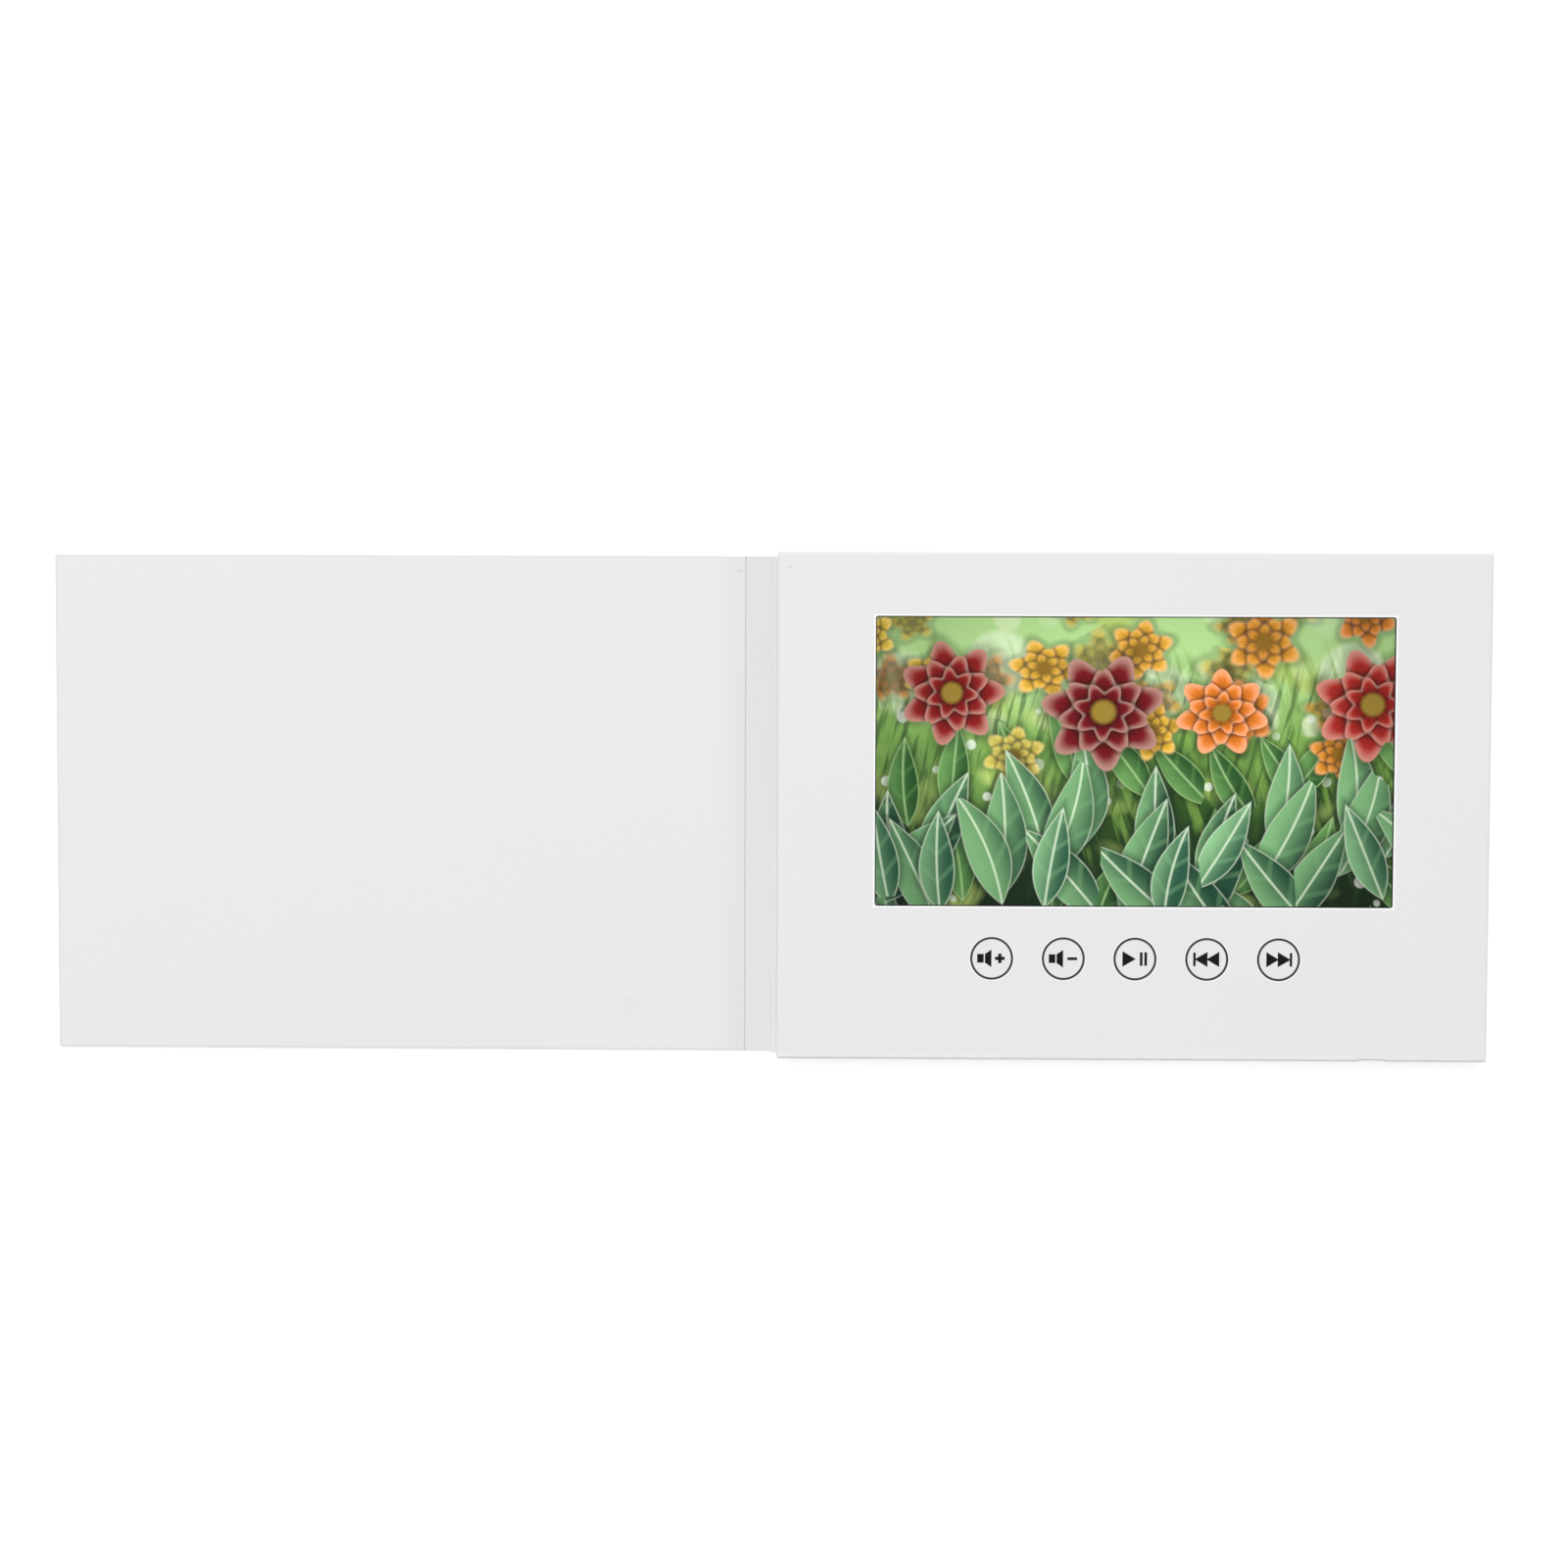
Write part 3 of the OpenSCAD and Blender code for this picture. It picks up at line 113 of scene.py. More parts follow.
# Places on the paper, in metres: scuffs beside the crease and on the tray, and a round rub mark
COVER_SCUFF = (-0.0084, 0.0697)
TRAY_SCUFF = (0.0065, 0.0704)
RUB_MARK = (-0.1562, -0.0568, 0.0)

# Radii round a key's middle: ink on the cap's rim, the gap's shade on the card, the bright cut edge
KEY_INK = (0.0056, 0.00574)
KEY_GAP = (0.00632, 0.0064)
KEY_CUT = (0.0065, 0.0068)

# Width of the bright cut edge round the window, and of the painted shade line along the lower fold
WINDOW_CUT = 0.00046
FOLD_SHADE_LINE = 0.00052
DIP_FOLD_SHADE_LINE = 0.0009

# Where marks begin and end: below the window, the painted light at the foot of the spine's cove, and down
# the tray's walls
KEY_BAND = (-0.03, -0.0305)
COVE_PAINTED_LIGHT = (0.0013, 0.0029)
FACE_DEPTH = (0.0012, 0.0008)

# Studio
FLOOR_REACH = 6.0
FLOOR_DROP = 0.0002
LAMP_PLACE = (-0.4, 0.95, 2.3)
LAMP_SIZE = 1.8
CAMERA_PLACE = (0.01565, 0.0385, 0.7415)
CAMERA_TURN = (-2.5, 0.83, 0.2)
SENSOR_WIDTH = 36


def slot_colour(slot):
    """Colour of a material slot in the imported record."""
    for entry in frame["record"]["materials"]:
        if entry["slot"] == slot:
            return tuple(entry["base_color"][:3])
    raise RuntimeError("no slot " + slot)


def hinge(name):
    """Place of a hinge's axis in X and Z."""
    for joint in frame["joints"]:
        if joint["name"] == name:
            return joint["pos_m"][0], joint["pos_m"][2]
    raise RuntimeError("no hinge " + name)


# Node trees

class Tree:
    """A material whose node tree is written one node at a time."""

    def __init__(self, name):
        self.material = bpy.data.materials.new(name)
        self.material.use_nodes = True
        self.nodes = self.material.node_tree.nodes
        self.links = self.material.node_tree.links
        self.nodes.clear()
        self.shader = self.nodes.new("ShaderNodeBsdfPrincipled")
        output = self.nodes.new("ShaderNodeOutputMaterial")
        self.links.new(self.shader.outputs[0], output.inputs[0])
        texture = self.nodes.new("ShaderNodeTexCoord")
        self.place = texture.outputs["Object"]

    def put(self, socket, value):
        """Link a socket to an output, or set its own value."""
        if isinstance(value, bpy.types.NodeSocket):
            self.links.new(value, socket)
        elif socket.type == "RGBA":
            socket.default_value = (*value[:3], 1)
        else:
            socket.default_value = value

    def set(self, **values):
        """Set the shader's sockets: base_color means Base Color."""
        for name, value in values.items():
            wanted = name.replace("_", " ").lower()
            socket = next(s for s in self.shader.inputs if s.name.lower() == wanted)
            self.put(socket, value)
        return self.material

    def math(self, operation, *values):
        """One sum on numbers."""
        node = self.nodes.new("ShaderNodeMath")
        node.operation = operation
        for socket, value in zip(node.inputs, values):
            self.put(socket, value)
        return node.outputs[0]

    def total(self, *values):
        """Sum of several values."""
        result = values[0]
        for value in values[1:]:
            result = self.math("ADD", result, value)
        return result

    def product(self, *values):
        """Product of several values."""
        result = values[0]
        for value in values[1:]:
            result = self.math("MULTIPLY", result, value)
        return result

    def vector(self, operation, *values, scale=None, output=0):
        """One sum on vectors or colours; output 1 is a length."""
        node = self.nodes.new("ShaderNodeVectorMath")
        node.operation = operation
        for socket, value in zip(node.inputs, values):
            self.put(socket, value)
        if scale is not None:
            self.put(node.inputs["Scale"], scale)
        return node.outputs[output]

    def parts(self, vector):
        """X, Y and Z of a vector."""
        node = self.nodes.new("ShaderNodeSeparateXYZ")
        self.put(node.inputs[0], vector)
        return node.outputs[0], node.outputs[1], node.outputs[2]

    def joined(self, x, y, z):
        """A vector from three numbers."""
        node = self.nodes.new("ShaderNodeCombineXYZ")
        for socket, value in zip(node.inputs, (x, y, z)):
            self.put(socket, value)
        return node.outputs[0]

    def rise(self, value, low, high, start=0.0, end=1.0):
        """Goes smoothly from start at low to end at high."""
        node = self.nodes.new("ShaderNodeMapRange")
        node.interpolation_type = "SMOOTHSTEP"
        settings = {"Value": value, "From Min": low, "From Max": high, "To Min": start, "To Max": end}
        for name, setting in settings.items():
            self.put(node.inputs[name], setting)
        return node.outputs[0]

    def mix(self, amount, first, second):
        """The first colour at 0, the second at 1."""
        node = self.nodes.new("ShaderNodeMix")
        node.data_type = "RGBA"
        self.put(node.inputs[0], amount)
        self.put(node.inputs[6], first)
        self.put(node.inputs[7], second)
        return node.outputs[2]

    def noise(self, grain, detail=3.0, rough=0.55, stretch=(1, 1, 1), bend=0.0):
        """Noise whose grain is given in metres."""
        place = self.vector("MULTIPLY", self.place, stretch)
        node = self.nodes.new("ShaderNodeTexNoise")
        settings = {
            "Vector": place, "Scale": 1 / grain, "Detail": detail, "Roughness": rough, "Distortion": bend}
        for name, setting in settings.items():
            self.put(node.inputs[name], setting)
        return node.outputs[0]

    def toned(self, colour, *waves):
        """A colour whose lightness is moved by several (noise, share) pairs."""
        tone = 1.0
        for wave, share in waves:
            tone = self.math("MULTIPLY_ADD", self.math("SUBTRACT", wave, 0.5), share, tone)
        return self.vector("SCALE", colour, scale=tone)

    def ramp(self, value, stops):
        """Colours along a value."""
        node = self.nodes.new("ShaderNodeValToRGB")
        band = node.color_ramp
        while len(band.elements) < len(stops):
            band.elements.new(0.5)
        for element, (at, colour) in zip(band.elements, stops):
            element.position = at
            element.color = (*colour, 1)
        self.put(node.inputs[0], value)
        return node.outputs[0]

    def relief(self, height, depth, strength=1.0):
        """Bumps of a given depth in metres."""
        node = self.nodes.new("ShaderNodeBump")
        for name, setting in (("Height", height), ("Distance", depth), ("Strength", strength)):
            self.put(node.inputs[name], setting)
        return node.outputs[0]


def inside(tree, x, y, low, high, soft):
    """1 inside a rectangle in plan, with a soft edge."""
    reach_x = tree.math("ABSOLUTE", tree.math("SUBTRACT", x, (low[0] + high[0]) / 2))
    reach_y = tree.math("ABSOLUTE", tree.math("SUBTRACT", y, (low[1] + high[1]) / 2))
    out_x = tree.math("SUBTRACT", reach_x, (high[0] - low[0]) / 2)
    out_y = tree.math("SUBTRACT", reach_y, (high[1] - low[1]) / 2)
    return tree.rise(tree.math("MAXIMUM", out_x, out_y), -soft, soft, 1.0, 0.0)


# Finishes

def laminated_paper(name, colour, marks=None):
    """Matt laminated paper: faint clouds, fine fibre and a soft tooth."""
    tree = Tree(name)
    clouds = tree.noise(0.045, 3)
    fibre = tree.noise(0.0009, 4, 0.6, stretch=(1, 0.45, 1), bend=0.6)
    tooth = tree.noise(0.00025, 3, 0.6)
    paper = tree.toned(colour, (clouds, 0.022), (fibre, 0.02), (tooth, 0.01))
    if marks:
        paper = marks(tree, paper)
    height = tree.total(tree.product(fibre, 0.6), tree.product(tooth, 0.4))
    rough = tree.rise(clouds, 0.3, 0.7, 0.5, 0.58)
    return tree.set(base_color=paper, roughness=rough, normal=tree.relief(height, 0.00002, 0.35),
                    specular_ior_level=0.35)


def raw_board(name, colour, fleck=0.2):
    """Raw card: pressed fibres, flecks and a rough face."""
    tree = Tree(name)
    fibre = tree.noise(0.0012, 6, 0.7, stretch=(1, 0.3, 1), bend=1.2)
    flecks = tree.rise(tree.noise(0.0007, 2, 0.5), 0.62, 0.7)
    ply = tree.noise(0.0006, 2, 0.5, stretch=(0.05, 0.05, 3))
    card = tree.toned(colour, (fibre, 0.35), (ply, 0.16))
    card = tree.mix(tree.product(flecks, fleck), card, tuple(c * 0.45 for c in colour))
    return tree.set(base_color=card, roughness=0.92, normal=tree.relief(fibre, 0.00008, 0.7))


def moulded_plastic(name, colour, rough=0.45, gloss=0.5, marks=None):
    """Moulded plastic: faint flow clouds and a fine spark-eroded grain."""
    tree = Tree(name)
    flow = tree.noise(0.008, 3, 0.5, stretch=(1, 0.4, 1))
    grain = tree.noise(0.00018, 2, 0.5)
    plastic = tree.toned(colour, (flow, 0.05), (grain, 0.04))
    if marks:
        plastic = marks(tree, plastic)
    return tree.set(base_color=plastic,
                    roughness=tree.rise(flow, 0.2, 0.8, rough - 0.05, rough + 0.05),
                    normal=tree.relief(grain, 0.00001, 0.4), specular_ior_level=gloss)


def drawn_metal(name, colour, rough=0.32, across=(1, 0.02, 1)):
    """Rolled or drawn metal: lines along the grain, duller in spots."""
    tree = Tree(name)
    lines = tree.noise(0.00022, 4, 0.6, stretch=across)
    spots = tree.noise(0.006, 4, 0.6)
    return tree.set(base_color=tree.toned(colour, (lines, 0.12), (spots, 0.08)), metallic=1.0,
                    roughness=tree.rise(spots, 0.25, 0.75, rough - 0.08, rough + 0.12),
                    normal=tree.relief(lines, 0.000008, 0.5))


def smooth_film(name, colour, rough=0.2, clear=0.0):
    """Plastic film: slight ripple, dust and a gloss."""
    tree = Tree(name)
    ripple = tree.noise(0.02, 2, 0.4)
    dust = tree.rise(tree.noise(0.0004, 2, 0.5), 0.7, 0.8)
    film = tree.mix(tree.product(dust, 0.15), tree.toned(colour, (ripple, 0.05)), DUST)
    return tree.set(base_color=film, roughness=tree.rise(ripple, 0.3, 0.7, rough, rough + 0.08),
                    transmission_weight=clear,
                    normal=tree.relief(ripple, 0.00003, 0.3))


def circuit_board(name, colour):
    """Solder mask over copper tracks, with tinned pads."""
    pad_pitch, track_pitch = 0.0026, 0.0011
    copper_under_mask, tin = (0.09, 0.38, 0.16), (0.72, 0.7, 0.62)
    tree = Tree(name)
    x, y = tree.parts(tree.place)[:2]
    cells = tree.nodes.new("ShaderNodeTexVoronoi")
    cells.voronoi_dimensions = "2D"
    cells.distance = "CHEBYCHEV"
    tree.put(cells.inputs["Vector"], tree.place)
    tree.put(cells.inputs["Scale"], 1 / pad_pitch)
    step = tree.math("SINE", tree.product(tree.math("ADD", x, y), 2 * math.pi / track_pitch))
    tracks = tree.product(tree.rise(step, 0.2, 0.5), tree.rise(tree.noise(0.006, 2, 0.5), 0.45, 0.5))
    pads = tree.rise(cells.outputs["Distance"], 0.12, 0.15, 1.0, 0.0)
    mask = tree.toned(colour, (tree.noise(0.004, 3), 0.12))
    mask = tree.mix(tree.product(tracks, 0.45), mask, copper_under_mask)
    board = tree.mix(pads, mask, tin)
    height = tree.total(tracks, tree.product(pads, 0.6))
    return tree.set(base_color=board, metallic=tree.product(pads, 0.9), roughness=0.3,
                    normal=tree.relief(height, 0.00003, 0.6))


def pouch_foil(name, colour):
    """Laminated foil of a pouch cell: pressed wrinkles near the rims."""
    tree = Tree(name)
    wrinkles = tree.noise(0.004, 5, 0.6, bend=1.5)
    sheen = tree.noise(0.0004, 3, 0.5, stretch=(1, 0.1, 1))
    return tree.set(base_color=tree.toned(colour, (wrinkles, 0.14), (sheen, 0.06)), metallic=0.85,
                    roughness=tree.rise(wrinkles, 0.3, 0.7, 0.28, 0.42),
                    normal=tree.relief(wrinkles, 0.00018, 0.5))


def soft_rubber(name, colour, rough=0.6, pore=0.0004):
    """Rubber, foam or pulp with open pores."""
    tree = Tree(name)
    pores = tree.noise(pore, 4, 0.7)
    return tree.set(base_color=tree.toned(colour, (pores, 0.3), (tree.noise(0.01, 2), 0.08)),
                    roughness=tree.rise(pores, 0.3, 0.7, rough, min(rough + 0.15, 1.0)),
                    normal=tree.relief(pores, 0.00006, 0.6), specular_ior_level=0.3)


FINISHES = {
    "grey_board": (raw_board, {}),
    "filler_card": (raw_board, {"fleck": 0.35}),
    "magnet": (drawn_metal, {"rough": 0.25, "across": (1, 1, 0.05)}),
    "steel": (drawn_metal, {}),
    "glass": (smooth_film, {"rough": 0.05, "clear": 0.6}),
    "dark_film": (smooth_film, {"rough": 0.18}),
    "pale_film": (smooth_film, {"rough": 0.4}),
    "clear_plastic": (smooth_film, {"rough": 0.08, "clear": 0.5}),
    "lamps": (moulded_plastic, {"rough": 0.3}),
    "pale_plastic": (moulded_plastic, {"rough": 0.4}),
    "ribbon_film": (smooth_film, {"rough": 0.25}),
    "cable_film": (smooth_film, {"rough": 0.35}),
    "circuit_board": (circuit_board, {}),
    "chip_black": (moulded_plastic, {"rough": 0.55}),
    "coil_grey": (soft_rubber, {"rough": 0.7}),
    "part_tan": (moulded_plastic, {"rough": 0.5}),
    "pouch_foil": (pouch_foil, {}),
    "tape": (smooth_film, {"rough": 0.45}),
    "lead_rubber": (soft_rubber, {"rough": 0.4, "pore": 0.002}),
    "speaker_plastic": (moulded_plastic, {"rough": 0.6}),
    "cone_paper": (soft_rubber, {"rough": 0.8, "pore": 0.0009}),
    "gasket_foam": (soft_rubber, {"rough": 0.85, "pore": 0.0006}),
    "plunger_black": (moulded_plastic, {"rough": 0.35}),
}


# Screen picture

class Picture:
    """A generic garden picture, computed on the screen's plan in millimetres."""

    def __init__(self, tree, middle, layout):
        self.tree = tree
        self.layout = layout
        x, y = tree.parts(tree.place)[:2]
        self.x = tree.math("MULTIPLY_ADD", x, 1000.0, -middle[0])
        self.y = tree.math("MULTIPLY_ADD", y, 1000.0, -middle[1])
        self.plan = tree.joined(self.x, self.y, 0.0)

    def cloud(self, grain, detail=2.0, stretch=(1, 1, 1)):
        """Noise whose grain is given in millimetres."""
        tree = self.tree
        node = tree.nodes.new("ShaderNodeTexNoise")
        node.noise_dimensions = "2D"
        place = tree.vector("MULTIPLY", self.plan, stretch)
        for name, setting in (("Vector", place), ("Scale", 1 / grain), ("Detail", detail)):
            tree.put(node.inputs[name], setting)
        return node.outputs[0]

    def scatter(self, size, seed, spread, tall=1.0):
        """Place in each cell from its middle, the cell's chance values and the middle's height."""
        tree = self.tree
        shift = (seed * 17.3 + self.layout * 31.7, seed * 9.1 + self.layout * 12.9, 0)
        place = tree.vector("MULTIPLY_ADD", self.plan, (1, 1 / tall, 1), shift)
        node = tree.nodes.new("ShaderNodeTexVoronoi")
        node.voronoi_dimensions = "2D"
        for name, setting in (("Vector", place), ("Scale", 1 / size), ("Randomness", spread)):
            tree.put(node.inputs[name], setting)
        across, up = tree.parts(tree.vector("SUBTRACT", place, node.outputs["Position"]))[:2]
        up = tree.product(up, tall)
        split = tree.nodes.new("ShaderNodeSeparateColor")
        tree.put(split.inputs[0], node.outputs["Color"])
        middle_y = tree.parts(node.outputs["Position"])[1]
        height = tree.product(tree.math("SUBTRACT", middle_y, shift[1]), tall)
        return across, up, split.outputs, height

    def leaves(self, under, size, seed, top, deep, pale, rim, lean=1.57, swing=1.5, slim=0.16):
        """Pointed leaves with a midrib, side veins and a light rim, below a height."""
        tree = self.tree
        across, up, chance, height = self.scatter(size * 0.52, seed, 0.5, 1.95)
        turn = tree.math("MULTIPLY_ADD", tree.math("SUBTRACT", chance[0], 0.5), swing, lean)
        sine, cosine = tree.math("SINE", turn), tree.math("COSINE", turn)
        along = tree.math("ADD", tree.product(across, cosine), tree.product(up, sine))
        beside = tree.math("SUBTRACT", tree.product(up, cosine), tree.product(across, sine))
        bow = tree.product(along, along, tree.math("MULTIPLY_ADD", chance[1], 0.6 / size, -0.3 / size))
        beside = tree.math("SUBTRACT", beside, bow)
        reach = tree.math("DIVIDE", along, 0.46 * size)
        taper = tree.math("MULTIPLY_ADD", reach, -0.3, 1.0)
        width = tree.product(tree.math("SUBTRACT", 1.0, tree.product(reach, reach)), taper, slim * size)
        edge = tree.math("SUBTRACT", width, tree.math("ABSOLUTE", beside))
        keep = tree.rise(tree.math("MULTIPLY_ADD", chance[2], 14.0, height), top + 6.95, top + 7.0, 1.0, 0.0)
        mask = tree.product(tree.rise(edge, 0.0, 0.02 * size), keep)
        slanted = tree.math("SUBTRACT", along, tree.math("ABSOLUTE", beside))
        veins = tree.math("SINE", tree.product(slanted, 26.0 / size))
        light = tree.math("MULTIPLY_ADD", chance[1], 0.7, tree.product(beside, 4.0 / size))
        light = tree.rise(light, -0.3, 1.1)
        leaf = tree.mix(light, deep, pale)
        leaf = tree.mix(tree.product(tree.rise(veins, 0.55, 1.0), 0.25), leaf, pale)
        leaf = tree.mix(tree.product(self.cloud(size * 0.5, 3), 0.35), leaf, deep)
        midrib = tree.rise(tree.math("ABSOLUTE", beside), 0.15, 0.55, 0.55, 0.0)
        leaf = tree.mix(midrib, leaf, rim)
        border = tree.rise(edge, 0.25, 0.8, 0.85, 0.0)
        leaf = tree.mix(border, leaf, rim)
        shadow = tree.product(tree.rise(edge, -0.07 * size, 0.02 * size), keep, 0.55)
        under = tree.mix(shadow, under, tuple(c * 0.25 for c in deep))
        return tree.mix(mask, under, leaf)

    def flowers(self, under, size, seed, low, high, petals, colours, heart, blur=0.05, strength=1.0):
        """Open flowers with shaded petals round a heart, between two heights."""
        tree = self.tree
        across, up, chance, height = self.scatter(size, seed, 0.7)
        scale = tree.math("MULTIPLY_ADD", chance[2], 0.14 * size, 0.3 * size)
        squash = tree.math("MULTIPLY_ADD", chance[1], 0.35, 0.75)
        up = tree.math("DIVIDE", up, squash)
        from_middle = tree.vector("LENGTH", tree.joined(across, up, 0.0), output=1)
        reach = tree.math("DIVIDE", from_middle, scale)
        angle = tree.math("MULTIPLY_ADD", chance[0], 6.283, tree.math("ARCTAN2", up, across))
        hue = tree.ramp(tree.math("FRACT", tree.product(chance[1], 7.31)), colours)
        keep = tree.product(tree.rise(height, low - 0.05, low),
                            tree.rise(height, high, high + 0.05, 1.0, 0.0))
        around = tree.math("MULTIPLY_ADD", self.cloud(size * 0.1), 3.0, tree.product(angle, petals * 6.0))
        fine = tree.math("MULTIPLY_ADD", tree.math("SINE", around), 0.05, 0.96)
        petal = None
        for ring, outer in enumerate((1.0, 0.74, 0.5)):
            turn = math.pi * (ring % 2) + 0.4 * ring
            wave = tree.math("COSINE", tree.math("MULTIPLY_ADD", angle, float(petals), turn))
            outline = tree.math("MULTIPLY_ADD", wave, 0.15 * outer, 0.85 * outer)
            gap = tree.math("SUBTRACT", outline, reach)
            part = tree.math("DIVIDE", reach, outline)
            folds, length = tree.rise(wave, -1.0, 0.3, 0.45, 1.0), tree.rise(part, 0.3, 1.0, 0.35, 1.2)
            shade = tree.product(folds, length, fine)
            face = tree.vector("SCALE", hue, scale=shade)
            face = tree.mix(tree.rise(part, 0.72, 1.0, 0.0, 0.3), face, PETAL_TIP)
            if petal is None:
                petal, edge = face, gap
            else:
                petal = tree.mix(tree.rise(gap, -0.1, 0.0, 0.0, 0.45), petal, PETAL_SHADE)
                petal = tree.mix(tree.rise(gap, 0.0, blur), petal, face)
        mask = tree.product(tree.rise(edge, 0.0, blur), keep, strength)
        middle = tree.rise(reach, 0.14, 0.24, 1.0, 0.0)
        petal = tree.mix(middle, petal, heart)
        shadow = tree.product(tree.rise(edge, -0.25, 0.0), keep, 0.4 * strength)
        under = tree.mix(shadow, under, BLOOM_SHADOW)
        return tree.mix(mask, under, petal)

    def discs(self, under, size, seed, low, high, colour, strength, rare=0.2):
        """Out-of-focus spots of light between two heights."""
        tree = self.tree
        across, up, chance, height = self.scatter(size, seed, 0.5)
        from_middle = tree.vector("LENGTH", tree.joined(across, up, 0.0), output=1)
        radius = tree.math("MULTIPLY_ADD", chance[2], 0.22 * size, 0.16 * size)
        edge = tree.math("SUBTRACT", radius, from_middle)
        keep = tree.product(tree.rise(height, low, low + 8.0), tree.rise(height, high, high + 8.0, 1.0, 0.0))
        spot = tree.rise(edge, -0.05 * size, 0.06 * size)
        mask = tree.product(spot, keep, tree.rise(chance[0], rare, 0.9), strength)
        return tree.mix(mask, under, colour)

    def grass(self, under, grain, tilt, colour, low, high, strength):
        """Blurred blades of grass between two heights."""
        tree = self.tree
        across = tree.math("MULTIPLY_ADD", self.y, tilt, self.x)
        node = tree.nodes.new("ShaderNodeTexNoise")
        node.noise_dimensions = "2D"
        place = tree.joined(across, tree.product(self.y, 0.12), 0.0)
        for name, setting in (("Vector", place), ("Scale", 1 / grain), ("Detail", 3.0)):
            tree.put(node.inputs[name], setting)
        blades = tree.rise(node.outputs[0], 0.5, 0.66)
        keep = tree.product(tree.rise(self.y, low, low + 14.0),
                            tree.rise(self.y, high, high + 14.0, 1.0, 0.0))
        return tree.mix(tree.product(blades, keep, strength), under, colour)


def garden_picture(name, settings):
    """Screen under a glossy polarizer, lit from behind, with the garden picture inside a dark border."""
    window_low, window_high = settings.window_low, settings.window_high
    middle = ((window_low[0] + window_high[0]) / 2 * 1000, (window_low[1] + window_high[1]) / 2 * 1000)
    tree = Tree(name)
    art = Picture(tree, middle, settings.layout)
    meadow = tree.rise(tree.math("MULTIPLY_ADD", art.cloud(34.0), 30.0, art.y), -28.0, 48.0)
    picture = tree.ramp(meadow, MEADOW)
    picture = tree.mix(tree.rise(art.cloud(26.0, 1.0, (1, 1.6, 1)), 0.52, 0.75), picture, SUNLIT)
    picture = art.discs(picture, 26.0, 1, 0.0, 60.0, (0.8, 0.92, 0.66), 0.55)
    picture = art.discs(picture, 15.0, 2, 0.0, 40.0, (0.85, 0.9, 0.65), 0.45)
    picture = art.grass(picture, 3.4, 0.3, GRASS_LIT, -40.0, 26.0, 0.55)
    picture = art.grass(picture, 2.4, -0.25, GRASS_SHADE, -50.0, 20.0, 0.6)
    picture = art.discs(picture, 5.0, 11, -60.0, 14.0, DEW, 0.6, 0.78)
    deep, pale, rim = settings.leaf_deep[:], settings.leaf_pale[:], settings.leaf_rim[:]
    reds = [(0.0, (0.16, 0.006, 0.012)), (0.45, settings.bloom_deep[:]), (0.8, (0.5, 0.03, 0.02)),
            (1.0, settings.bloom_warm[:])]
    golds = [(0.0, settings.bloom_warm[:]), (0.6, settings.bloom_pale[:]), (1.0, (0.85, 0.65, 0.12))]
    heart = (0.16, 0.07, 0.01)
    picture = art.flowers(picture, 24.0, 3, 10.0, 60.0, 5, golds, heart, 0.4, 0.7)
    picture = art.leaves(picture, 30.0, 4, 4.0, (0.02, 0.08, 0.02), (0.17, 0.38, 0.11), (0.4, 0.62, 0.26))
    picture = art.flowers(picture, 30.0, 12, 2.0, 44.0, 6, golds, (0.25, 0.12, 0.01), 0.16, 0.95)
    picture = art.leaves(picture, 38.0, 6, -6.0, deep, pale, rim, 1.75)
    picture = art.flowers(picture, 46.0, 7, -4.0, 40.0, 7, reds, (0.3, 0.2, 0.03), 0.04)
    picture = art.leaves(picture, 42.0, 8, -14.0, deep, pale, rim, 1.4)
    picture = art.leaves(picture, 40.0, 10, -22.0, deep, pale, rim, 1.65)
    picture = art.leaves(picture, 34.0, 9, -26.0, (0.02, 0.09, 0.05), (0.27, 0.54, 0.26), rim, 1.5)
    off_middle = tree.joined(tree.product(art.x, 0.011), tree.product(art.y, 0.017), 0.0)
    far = tree.vector("LENGTH", off_middle, output=1)
    picture = tree.vector("SCALE", picture, scale=tree.rise(far, 0.45, 1.15, 1.0, 0.6))
    border = settings.border
    x, y = tree.parts(tree.place)[:2]
    lit = inside(tree, x, y, (window_low[0] + border, window_low[1] + border),
                 (window_high[0] - border, window_high[1] - border), 0.00004)
    shown = tree.mix(lit, UNLIT, picture)
    smear = tree.noise(0.03, 3, 0.6, bend=0.8)
    return tree.set(base_color=tree.vector("SCALE", shown, scale=0.5), emission_color=shown,
                    emission_strength=settings.backlight, roughness=tree.rise(smear, 0.35, 0.75, 0.1, 0.16),
                    normal=tree.relief(smear, 0.00001, 0.2), specular_ior_level=0.14)


# Paper with marks

def from_key(tree):
    """Distance in plan from the middle of the nearest key."""
    x, y = tree.parts(tree.place)[:2]
    first, last = [sum(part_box(name), Vector()) / 2 for name in ("volume_up_key", "next_key")]
    pitch = (last.x - first.x) / 4
    steps = tree.math("DIVIDE", tree.math("SUBTRACT", x, first.x), pitch)
    nearest = tree.math("MINIMUM", tree.math("MAXIMUM", tree.math("ROUND", steps), 0.0), 4.0)
    across = tree.product(tree.math("SUBTRACT", steps, nearest), pitch)
    up = tree.math("SUBTRACT", y, first.y)
    return tree.vector("LENGTH", tree.joined(across, up, 0.0), output=1)


def ring_marks(tree, plastic):
    """The cap's rim is inked, so that the key stands in a dark ring."""
    away = from_key(tree)
    return tree.mix(tree.rise(away, *KEY_INK, 0.0, 0.95), plastic, INK)


def small_dash(tree, paper, at, half_x, half_y, share):
    """A short scuff in the paper."""
    x, y = tree.parts(tree.place)[:2]
    dash = inside(tree, x, y, (at[0] - half_x, at[1] - half_y), (at[0] + half_x, at[1] + half_y), 0.0002)
    return tree.mix(tree.product(dash, share), paper, SCUFF)


